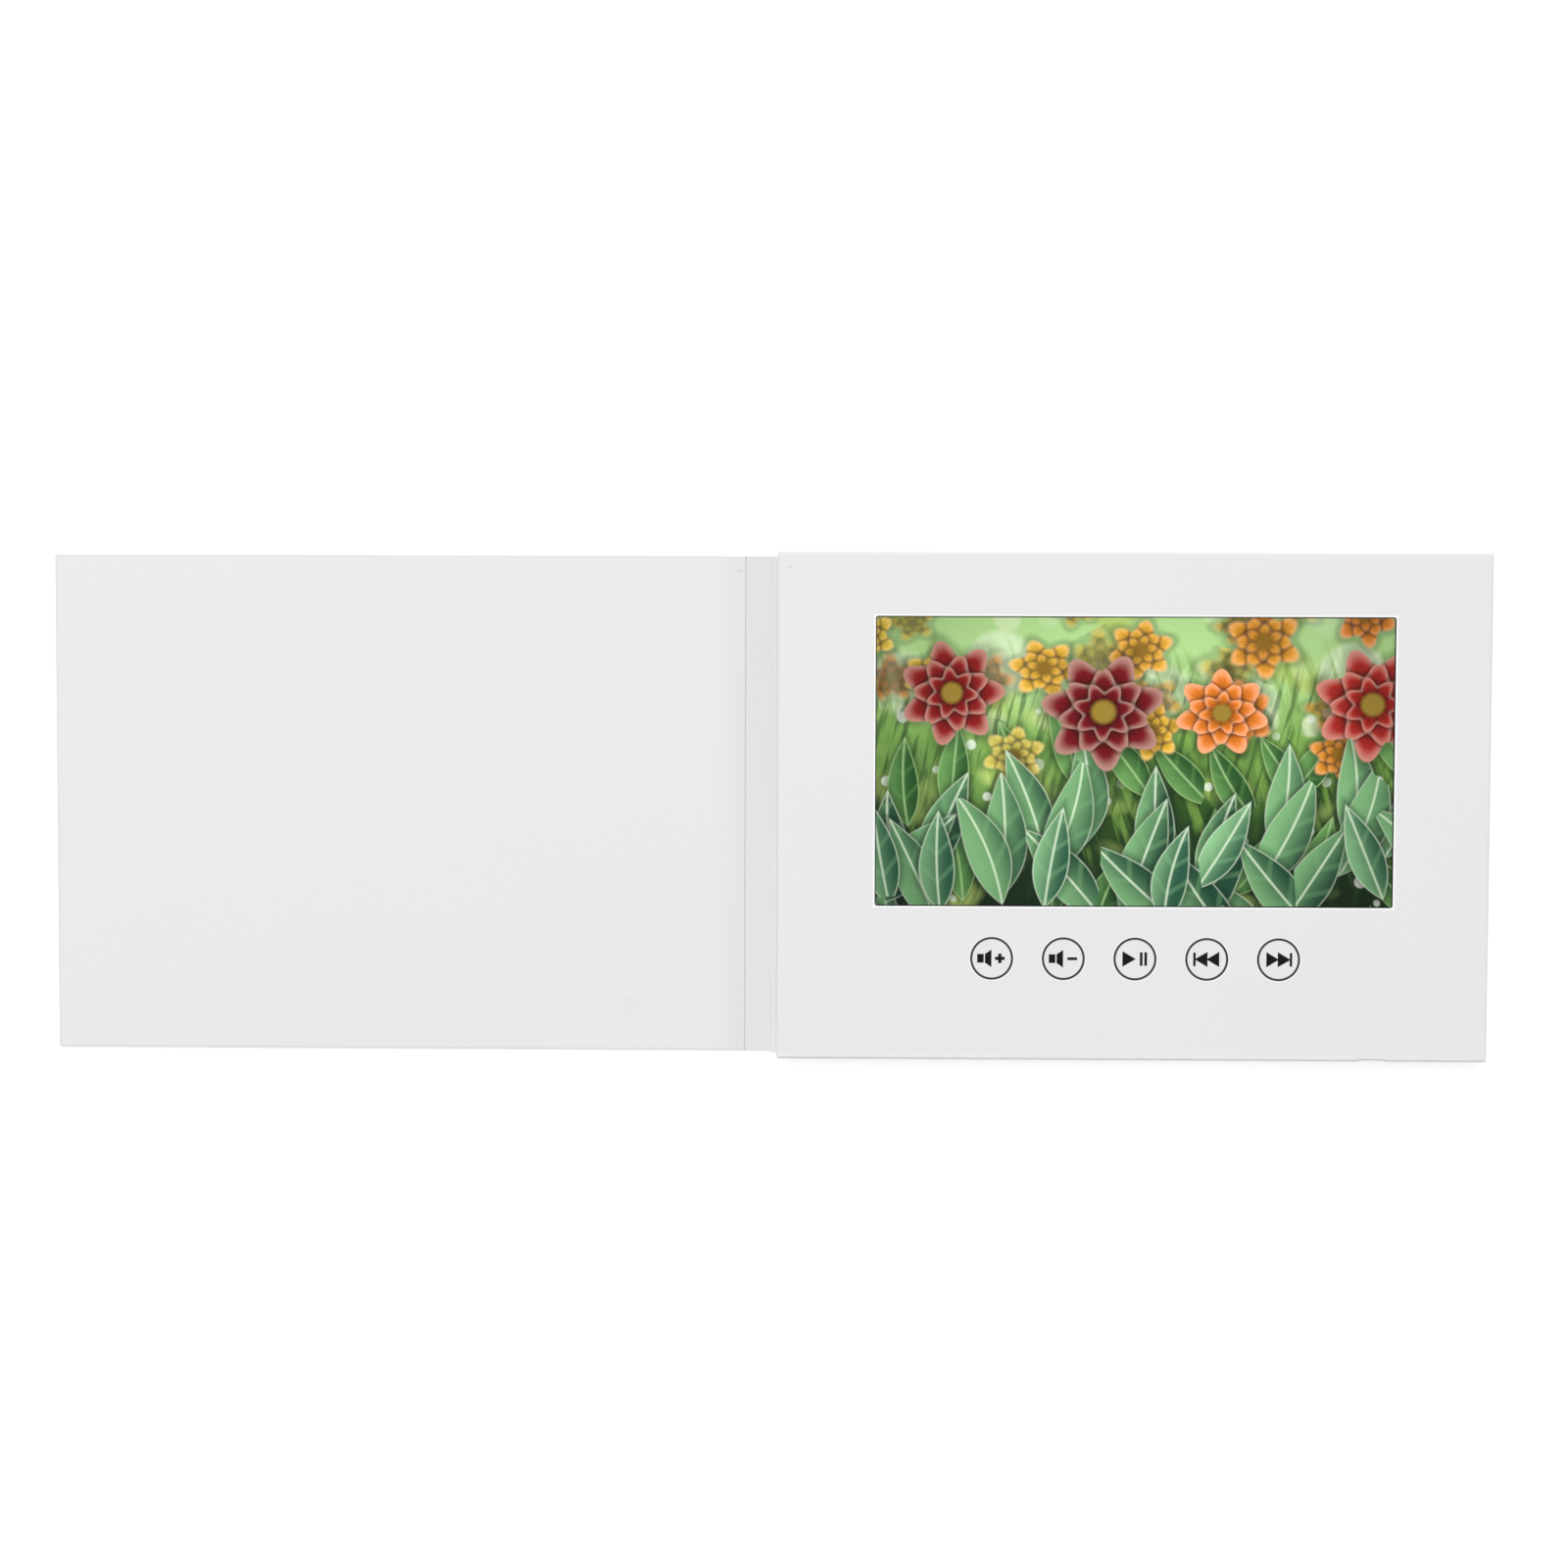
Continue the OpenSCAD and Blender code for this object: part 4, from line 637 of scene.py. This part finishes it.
def cover_marks(tree, paper):
    """Impression of the magnet under the liner, a scuff, a round rub mark, and shade towards the crease."""
    x, y = tree.parts(tree.place)[:2]
    low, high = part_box("cover_magnet")
    square = inside(tree, x, y, low, high, 0.0004)
    blotch = tree.rise(tree.noise(0.0025, 3), 0.4, 0.6)
    core_low, core_high = (low[0] + 0.0012, low[1] + 0.0007), (high[0] - 0.0022, high[1] - 0.0008)
    core = inside(tree, x, y, core_low, core_high, 0.0005)
    away = tree.vector("DISTANCE", tree.joined(x, y, 0.0), RUB_MARK, output=1)
    ring = tree.product(tree.rise(away, 0.0018, 0.0026), tree.rise(away, 0.0026, 0.0036, 1.0, 0.0))
    paper = small_dash(tree, paper, COVER_SCUFF, 0.0007, 0.00022, 0.3)
    paper = tree.mix(tree.product(square, 0.018), paper, SCUFF)
    paper = tree.mix(tree.product(core, blotch, 0.09), paper, PRESSED)
    crease_x = hinge("cover_fold")[0]
    # Painted shade: the paper darkens towards the crease.
    paper = tree.vector("SCALE", paper, scale=tree.rise(x, crease_x - 0.0105, crease_x, 1.0, 0.94))
    return tree.mix(tree.product(ring, 0.025), paper, SCUFF)


def spine_marks(tree, paper):
    """The spine's paper has painted shade, most at its top, a painted highlight on the lip and painted light
    at the foot of the cove, and painted shade along the bottom of the score.
    """
    x, y = tree.parts(tree.place)[:2]
    crease_x = hinge("cover_fold")[0]
    away = tree.math("ABSOLUTE", tree.math("SUBTRACT", x, crease_x))
    on_spine = tree.rise(x, crease_x, crease_x + 0.0003)
    # Painted shade: the spine's paper is darker, most at its top.
    duller = tree.rise(y, -0.06, 0.06, -0.048, -0.08)
    paper = tree.vector("SCALE", paper, scale=tree.math("MULTIPLY_ADD", on_spine, duller, 1.0))
    # Painted light: lighter on the lip beside the score and at the foot of the cove by the block's wall.
    cove_painted_light = tree.rise(x, *COVE_PAINTED_LIGHT)
    lip = inside(tree, x, 0.0, (crease_x + 0.0003, -1.0), (crease_x + 0.0007, 1.0), 0.0001)
    painted_light = tree.math("MULTIPLY_ADD", lip, 0.05, tree.math("MULTIPLY_ADD", cove_painted_light, 0.15, 1.0))
    paper = tree.vector("SCALE", paper, scale=painted_light)
    # Painted shade along the bottom of the score, in patches.
    patchy = tree.rise(tree.noise(0.004, 3), 0.2, 0.5, 0.6, 1.0)
    score_painted_shade = tree.product(tree.rise(away, 0.0001, 0.00042, 1.0, 0.0), patchy)
    return tree.vector("SCALE", paper, scale=tree.math("MULTIPLY_ADD", score_painted_shade, -0.11, 1.0))


def tray_marks(tree, paper):
    """Window and key holes show the bare card at their edges, with painted shade in the key gaps, and the
    lower fold has a lighter band and a painted shade line.
    """
    x, y, z = tree.parts(tree.place)
    low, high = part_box("face_tray")
    settings = bpy.context.scene.brochure_screen
    cut_low = [c - WINDOW_CUT for c in settings.window_low]
    cut_high = [c + WINDOW_CUT for c in settings.window_high]
    wide = inside(tree, x, y, cut_low, cut_high, 0.00008)
    under_top = tree.rise(z, high[2] - FACE_DEPTH[0], high[2] - FACE_DEPTH[1])
    paper = tree.mix(tree.product(wide, under_top, 0.95), paper, BARE_CARD)
    away = from_key(tree)
    low_half = tree.rise(y, *KEY_BAND, 0.0, 1.0)
    halo = tree.product(tree.rise(away, *KEY_CUT, 1.0, 0.0), low_half)
    paper = tree.mix(tree.product(halo, 0.8), paper, KEY_HOLE_CARD)
    # Painted shade of the gap round each key, on the card by the hole.
    gap = tree.product(tree.rise(away, *KEY_GAP, 1.0, 0.0), low_half)
    paper = tree.mix(tree.product(gap, 0.95), paper, GAP_SHADE)
    paper = small_dash(tree, paper, TRAY_SCUFF, 0.0008, 0.0002, 0.3)
    from_fold = tree.math("SUBTRACT", y, low[1])
    # A lighter band of card along the lower fold, in patches, near the top face only.
    rub = tree.rise(from_fold, 0.0009, 0.0021, 1.0, 0.0)
    rub = tree.product(rub, tree.rise(tree.noise(0.003, 3), 0.3, 0.6))
    paper = tree.mix(tree.product(rub, under_top, 0.35), paper, LIGHT_BAND_CARD)
    # Painted shade: a dark line along the lower fold, wider over the dip at the socket.
    socket = sum(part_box("usb_shell"), Vector()) / 2
    beside = tree.math("ABSOLUTE", tree.math("SUBTRACT", x, socket.x))
    fold_shade_width = tree.rise(beside, 0.0038, 0.0044, DIP_FOLD_SHADE_LINE, FOLD_SHADE_LINE)
    dark = tree.rise(tree.math("SUBTRACT", from_fold, fold_shade_width), -0.0001, 0.0001, 1.0, 0.0)
    return tree.vector("SCALE", paper, scale=tree.math("MULTIPLY_ADD", dark, -0.28, 1.0))


# Meshes

def new_piece(name, mesh, material, body=None):
    """An object with its finish, riding on a body."""
    piece = bpy.data.objects.new(name, mesh)
    bpy.context.scene.collection.objects.link(piece)
    mesh.materials.append(material)
    if body:
        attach(piece, body)
    return piece


def paper_strip(name, profile, low_y, high_y, thick, rows=80, wave=0.0):
    """A paper strip: an outline in X and Z drawn along Y, with its thickness on the lower side."""
    grid = bmesh.new()
    normals = []
    for i in range(len(profile)):
        before, after = profile[max(i - 1, 0)], profile[min(i + 1, len(profile) - 1)]
        run = Vector((after[0] - before[0], 0, after[1] - before[1])).normalized()
        normals.append(Vector((run.z, 0, -run.x)))
    for depth in (0.0, thick):
        for j in range(rows + 1):
            y = low_y + (high_y - low_y) * j / rows
            for i, (x, z) in enumerate(profile):
                bend = wave * math.sin(j * 0.37 + i * 0.21) * math.sin(i / (len(profile) - 1) * math.pi)
                grid.verts.new(Vector((x, y, z + bend)) + normals[i] * depth)
    grid.verts.ensure_lookup_table()
    count = len(profile)
    layer = count * (rows + 1)

    def at(side, j, i):
        return grid.verts[side * layer + j * count + i]

    for j in range(rows):
        for i in range(count - 1):
            grid.faces.new((at(0, j, i), at(0, j, i + 1), at(0, j + 1, i + 1), at(0, j + 1, i)))
            grid.faces.new((at(1, j, i), at(1, j + 1, i), at(1, j + 1, i + 1), at(1, j, i + 1)))
        for i in (0, count - 1):
            grid.faces.new((at(0, j, i), at(0, j + 1, i), at(1, j + 1, i), at(1, j, i)))
    for j in (0, rows):
        for i in range(count - 1):
            grid.faces.new((at(0, j, i), at(1, j, i), at(1, j, i + 1), at(0, j, i + 1)))
    bmesh.ops.recalc_face_normals(grid, faces=grid.faces)
    mesh = bpy.data.meshes.new(name)
    grid.to_mesh(mesh)
    grid.free()
    mesh.shade_smooth()
    mesh.set_sharp_from_angle(angle=math.radians(50))
    return mesh


def printed_mesh(name, outlines, middle, low_z, high_z):
    """A layer of print: closed outlines in plan with their thickness."""
    print_mesh = bmesh.new()
    for outline in outlines:
        under = [print_mesh.verts.new((middle[0] + x * MM, middle[1] + y * MM, low_z)) for x, y in outline]
        over = [print_mesh.verts.new((middle[0] + x * MM, middle[1] + y * MM, high_z)) for x, y in outline]
        print_mesh.faces.new(over)
        print_mesh.faces.new(under[::-1])
        for i in range(len(outline)):
            after = (i + 1) % len(outline)
            print_mesh.faces.new((under[i], under[after], over[after], over[i]))
    bmesh.ops.recalc_face_normals(print_mesh, faces=print_mesh.faces)
    mesh = bpy.data.meshes.new(name)
    print_mesh.to_mesh(mesh)
    print_mesh.free()
    return mesh


def box_outline(left, right, half):
    """A bar with its half height."""
    return [(left, -half), (right, -half), (right, half), (left, half)]


def arrow_outline(tip, back, half):
    """A triangle that points from its back to its tip."""
    return [(tip, 0.0), (back, half), (back, -half)]


def loudspeaker_outlines():
    """A loudspeaker's box and horn."""
    return [box_outline(-4.28, -2.34, 1.3), [(-1.99, -1.3), (-0.06, -2.63), (-0.06, 2.63), (-1.99, 1.3)]]


def plus_outline(left, right, corner):
    """A plus with its bars' half width."""
    middle = (left + right) / 2
    arm = (right - left) / 2
    return [(middle + x, y) for x, y in (
        (-arm, -corner), (-corner, -corner), (-corner, -arm), (corner, -arm),
        (corner, -corner), (arm, -corner), (arm, corner), (corner, corner),
        (corner, arm), (-corner, arm), (-corner, corner), (-arm, corner))]


# Outlines of each key's sign, in millimetres from the key's middle
SIGNS = {
    "volume_up": loudspeaker_outlines() + [plus_outline(1.0, 3.85, 0.5)],
    "volume_down": loudspeaker_outlines() + [box_outline(1.19, 4.1, 0.42)],
    "play": [arrow_outline(0.24, -3.7, 2.3), box_outline(1.44, 2.24, 2.02), box_outline(2.76, 3.56, 2.02)],
    "previous": [box_outline(-3.98, -3.25, 2.02), arrow_outline(-3.6, 0.24, 2.26),
                 arrow_outline(-0.1, 3.7, 2.26)],
    "next": [arrow_outline(0.1, -3.6, 2.26), arrow_outline(3.6, -0.24, 2.26), box_outline(3.3, 4.02, 2.02)],
}


# Settings

class PaperSettings(bpy.types.PropertyGroup):
    """Paper and card of the brochure."""
    cover_colour: bpy.props.FloatVectorProperty(
        name="Cover paper", description="Colour of the laminated paper on cover and spine", subtype="COLOR",
        default=(0.80, 0.80, 0.805), min=0, max=1)
    tray_colour: bpy.props.FloatVectorProperty(
        name="Tray card", description="Colour of the block's folded card", subtype="COLOR",
        default=(0.80, 0.80, 0.805), min=0, max=1)


class FoldSettings(bpy.types.PropertyGroup):
    """Paper that bridges the fold lines."""
    paper: bpy.props.FloatProperty(
        name="Paper", description="Thickness of the paper over the folds", unit="LENGTH", default=0.00015,
        min=0.00005, max=0.0003)
    score: bpy.props.FloatProperty(
        name="Score width", description="Width of the pressed line between cover and spine", unit="LENGTH",
        default=0.0014, min=0.0006, max=0.003)
    lip: bpy.props.FloatProperty(
        name="Score lip", description="Height of the ridge beside the pressed line", unit="LENGTH",
        default=0.00012, min=0.0, max=0.0002)
    cove: bpy.props.FloatProperty(
        name="Cove rise", description="How far the paper climbs the block's wall", unit="LENGTH",
        default=0.0034, min=0.001, max=0.006)
    cove_reach: bpy.props.FloatProperty(
        name="Cove reach", description="How far from the block's wall the paper leaves the spine",
        unit="LENGTH", default=0.0064, min=0.002, max=0.009)


class ScreenSettings(bpy.types.PropertyGroup):
    """Window and picture."""
    window_low: bpy.props.FloatVectorProperty(
        name="Window corner", description="Lower left corner of the window", size=2, unit="LENGTH",
        default=(0.03205, -0.0294))
    window_high: bpy.props.FloatVectorProperty(
        name="Window far corner", description="Upper right corner of the window", size=2, unit="LENGTH",
        default=(0.18475, 0.0562))
    layout: bpy.props.IntProperty(
        name="Layout", description="Chooses where flowers and leaves stand", default=6, min=0, max=999)
    border: bpy.props.FloatProperty(
        name="Dark border", description="Unlit rim of the screen inside the window", unit="LENGTH",
        default=0.00032, min=0.0, max=0.004)
    backlight: bpy.props.FloatProperty(
        name="Backlight", description="Strength of the light behind the picture", default=0.74, min=0, max=3)
    leaf_deep: bpy.props.FloatVectorProperty(
        name="Leaf shade", description="Leaf colour in shade", subtype="COLOR",
        default=(0.014, 0.06, 0.034), min=0, max=1)
    leaf_pale: bpy.props.FloatVectorProperty(
        name="Leaf light", description="Leaf colour in light", subtype="COLOR",
        default=(0.23, 0.49, 0.21), min=0, max=1)
    leaf_rim: bpy.props.FloatVectorProperty(
        name="Leaf rim", description="Colour of rims and ribs", subtype="COLOR",
        default=(0.82, 0.96, 0.72), min=0, max=1)
    bloom_deep: bpy.props.FloatVectorProperty(
        name="Deep bloom", description="Darkest flower colour", subtype="COLOR",
        default=(0.33, 0.015, 0.012), min=0, max=1)
    bloom_warm: bpy.props.FloatVectorProperty(
        name="Warm bloom", description="Middle flower colour", subtype="COLOR",
        default=(0.75, 0.2, 0.02), min=0, max=1)
    bloom_pale: bpy.props.FloatVectorProperty(
        name="Pale bloom", description="Lightest flower colour", subtype="COLOR",
        default=(0.85, 0.56, 0.05), min=0, max=1)


class KeySettings(bpy.types.PropertyGroup):
    """Keys and their signs."""
    sign_colour: bpy.props.FloatVectorProperty(
        name="Sign", description="Colour of the printed signs", subtype="COLOR",
        default=(0.012, 0.012, 0.014), min=0, max=1)
    key_colour: bpy.props.FloatVectorProperty(
        name="Key", description="Colour of the key caps", subtype="COLOR",
        default=(0.80, 0.80, 0.805), min=0, max=1)
    print_thickness: bpy.props.FloatProperty(
        name="Print", description="How far the print stands out of the cap", unit="LENGTH", default=0.000008,
        min=0.000002, max=0.00005)


class StudioSettings(bpy.types.PropertyGroup):
    """Floor, light and camera."""
    floor_colour: bpy.props.FloatVectorProperty(
        name="Floor", description="Colour of the floor", subtype="COLOR",
        default=(0.66, 0.66, 0.66), min=0, max=1)
    sky: bpy.props.FloatProperty(
        name="Room light", description="Strength of the even light of the room", default=0.66, min=0, max=4)
    lamp: bpy.props.FloatProperty(
        name="Lamp", description="Power of the large soft lamp", unit="POWER", default=29.0, min=0, max=500)
    floor_glow: bpy.props.FloatProperty(
        name="Floor glow", description="Light of the lit backdrop itself", default=0.48, min=0, max=1)
    lens: bpy.props.FloatProperty(
        name="Lens", description="Focal length in millimetres", default=56.925, min=10, max=300)


# Operators

class BROCHURE_OT_cad_finishes(bpy.types.Operator):
    """Give every carried-over CAD piece its finish"""
    bl_idname = "brochure.cad_finishes"
    bl_label = "Finish the CAD pieces"

    def execute(self, context):
        paper, keys = context.scene.brochure_paper, context.scene.brochure_keys
        finishes = {
            "wrap_paper": laminated_paper("wrap_finish", [c * 0.94 for c in paper.cover_colour]),
            "liner_paper": laminated_paper("cover_paper", paper.cover_colour[:]),
            "tray_card": laminated_paper("tray_paper", paper.tray_colour[:], tray_marks),
            "screen": garden_picture("screen_picture", context.scene.brochure_screen),
            "key_white": moulded_plastic("key_plastic", keys.key_colour[:], 0.55, 0.2, ring_marks),
        }
        for slot, (make, settings) in FINISHES.items():
            finishes[slot] = make(slot + "_finish", slot_colour(slot), **settings)
        slots = {entry["node"]: entry["material_slot"] for entry in frame["record"]["subparts"]}
        for name, piece in frame["nodes"].items():
            for place in piece.material_slots:
                place.material = finishes[slots[name]]
        marked = laminated_paper("marked_cover_paper", paper.cover_colour[:], cover_marks)
        frame["nodes"]["cover_liner"].material_slots[0].material = marked
        spine = laminated_paper("spine_paper", paper.cover_colour[:], spine_marks)
        frame["nodes"]["spine_liner"].material_slots[0].material = spine
        return {"FINISHED"}


class BROCHURE_OT_folds(bpy.types.Operator):
    """Bridge the fold lines with paper"""
    bl_idname = "brochure.folds"
    bl_label = "Make the paper over the folds"

    def execute(self, context):
        folds = context.scene.brochure_folds
        paper = frame["nodes"]["spine_liner"].material_slots[0].material
        crease_x, face = hinge("cover_fold")
        fold_x = hinge("spine_fold")[0]
        spine_low, spine_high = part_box("spine_wrap")
        cover_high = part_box("cover_wrap")[1]
        tray_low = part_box("face_tray")[0]
        low_y, high_y = [corner.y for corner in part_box("spine_liner")]

        half = folds.score / 2
        lip, depth, thin = folds.lip, 0.00022, 0.00005
        slope = [(0.15, 0.05), (0.38, 0.85), (0.5, 1.0), (0.62, 0.8), (0.8, 0.3), (1.0, 0.0)]
        line = [(crease_x - x * half, face + LIFT + rise * lip) for x, rise in reversed(slope)]
        line.append((crease_x, face - depth))
        line += [(crease_x + x * half, face + LIFT + rise * lip) for x, rise in slope]
        mesh = paper_strip("crease_score", line, low_y, high_y, thin)
        score = new_piece("crease_score", mesh, paper)
        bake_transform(score)

        for name, start, end, first, second in (
                ("crease_back", cover_high.x, spine_low.x, "cover", "spine"),
                ("hinge_back", fold_x, tray_low.x, "spine", "player_block")):
            lap = 0.00006
            steps = 16
            width = end - start + 2 * lap
            line = [(start - lap + width * i / steps, folds.paper) for i in range(steps + 1)]
            mesh = paper_strip(name, line, spine_low.y, spine_high.y, folds.paper - LIFT)
            strip = new_piece(name, mesh, paper)
            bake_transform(strip)

        play, tail, climb = 0.00001, 0.0004, 0.0007
        wall = tray_low.x - play
        left = wall - folds.cove_reach
        line = [(left - tail, face + LIFT)]
        steps = 22
        for i in range(steps + 1):
            turn = math.pi / 2 * i / steps
            line.append((left + folds.cove_reach * math.sin(turn) - folds.paper * i / steps,
                         face + play + folds.cove * (1 - math.cos(turn))))
        line.append((wall - folds.paper, face + folds.cove + climb))
        rim = 0.00003
        mesh = paper_strip("spine_cove", line, spine_low.y + rim, spine_high.y - rim, folds.paper * 0.6,
                           wave=0.00004)
        cove = new_piece("spine_cove", mesh, paper, "spine")
        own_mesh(cove)
        return {"FINISHED"}


class BROCHURE_OT_key_signs(bpy.types.Operator):
    """Print the signs on the five keys"""
    bl_idname = "brochure.key_signs"
    bl_label = "Print the key signs"

    def execute(self, context):
        keys = context.scene.brochure_keys
        ink = Tree("sign_ink")
        speckle = ink.noise(0.0002, 3, 0.6)
        ink.set(base_color=ink.toned(keys.sign_colour[:], (speckle, 0.5)),
                roughness=ink.rise(speckle, 0.3, 0.7, 0.5, 0.65),
                specular_ior_level=0.03, normal=ink.relief(speckle, 0.000005, 0.3))
        for body, outlines in SIGNS.items():
            low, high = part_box(body + "_key")
            middle = ((low.x + high.x) / 2, (low.y + high.y) / 2)
            mesh = printed_mesh("sign_" + body, outlines, middle, high.z - PRINT_ROOT,
                                high.z + keys.print_thickness)
            new_piece("sign_" + body, mesh, ink.material, body)
        return {"FINISHED"}


class BROCHURE_OT_studio(bpy.types.Operator):
    """Set up the floor, the soft light and the camera"""
    bl_idname = "brochure.studio"
    bl_label = "Set up the studio"

    def execute(self, context):
        studio = context.scene.brochure_studio
        scene = context.scene
        floor_mesh = bpy.data.meshes.new("floor")
        corners = [(x * FLOOR_REACH, y * FLOOR_REACH, -FLOOR_DROP)
                   for x, y in ((-1, -1), (1, -1), (1, 1), (-1, 1))]
        floor_mesh.from_pydata(corners, [], [(0, 1, 2, 3)])
        tree = Tree("floor_paint")
        tree.set(base_color=tree.toned(studio.floor_colour[:], (tree.noise(0.4, 2), 0.01)), roughness=0.9,
                 specular_ior_level=0.1, emission_color=(1, 1, 1), emission_strength=studio.floor_glow)
        floor = new_piece("floor", floor_mesh, tree.material)

        world = bpy.data.worlds.new("room")
        world.use_nodes = True
        back = world.node_tree.nodes["Background"]
        back.inputs[0].default_value = (1, 1, 1, 1)
        back.inputs[1].default_value = studio.sky
        scene.world = world

        lamp = bpy.data.lights.new("soft_lamp", "AREA")
        lamp.shape = "SQUARE"
        lamp.size = LAMP_SIZE
        lamp.energy = studio.lamp
        holder = bpy.data.objects.new("soft_lamp", lamp)
        holder.location = LAMP_PLACE
        holder.rotation_euler = (-holder.location).to_track_quat("-Z", "Y").to_euler()
        scene.collection.objects.link(holder)

        lens = bpy.data.cameras.new("camera")
        lens.lens = studio.lens
        lens.sensor_width = SENSOR_WIDTH
        lens.clip_start = 0.01
        lens.clip_end = 30
        camera = bpy.data.objects.new("camera", lens)
        camera.location = CAMERA_PLACE
        camera.rotation_euler = [math.radians(turn) for turn in CAMERA_TURN]
        scene.collection.objects.link(camera)
        scene.camera = camera
        scene.view_settings.view_transform = "Standard"
        return {"FINISHED"}


class BROCHURE_PT_looks(bpy.types.Panel):
    """Steps that dress the brochure"""
    bl_label = "Brochure"
    bl_idname = "BROCHURE_PT_looks"
    bl_space_type = "VIEW_3D"
    bl_region_type = "UI"
    bl_category = "Brochure"

    def draw(self, context):
        for operator in OPERATORS:
            self.layout.operator(operator.bl_idname)
        for group in SETTINGS:
            box = self.layout.box()
            settings = getattr(context.scene, group)
            for name in settings.__annotations__:
                box.prop(settings, name)


SETTINGS = {
    "brochure_paper": PaperSettings,
    "brochure_folds": FoldSettings,
    "brochure_screen": ScreenSettings,
    "brochure_keys": KeySettings,
    "brochure_studio": StudioSettings,
}
OPERATORS = (BROCHURE_OT_studio, BROCHURE_OT_cad_finishes, BROCHURE_OT_folds, BROCHURE_OT_key_signs)


def register():
    for group in SETTINGS.values():
        bpy.utils.register_class(group)
    for name, group in SETTINGS.items():
        setattr(bpy.types.Scene, name, bpy.props.PointerProperty(type=group))
    for operator in OPERATORS:
        bpy.utils.register_class(operator)
    bpy.utils.register_class(BROCHURE_PT_looks)


def unregister():
    bpy.utils.unregister_class(BROCHURE_PT_looks)
    for operator in reversed(OPERATORS):
        bpy.utils.unregister_class(operator)
    for name, group in reversed(SETTINGS.items()):
        delattr(bpy.types.Scene, name)
        bpy.utils.unregister_class(group)


def main():
    """Dress the brochure."""
    register()
    bpy.ops.brochure.studio()
    bpy.ops.brochure.cad_finishes()
    bpy.ops.brochure.folds()
    bpy.ops.brochure.key_signs()
    bpy.context.view_layer.update()


if __name__ == "__main__":
    main()
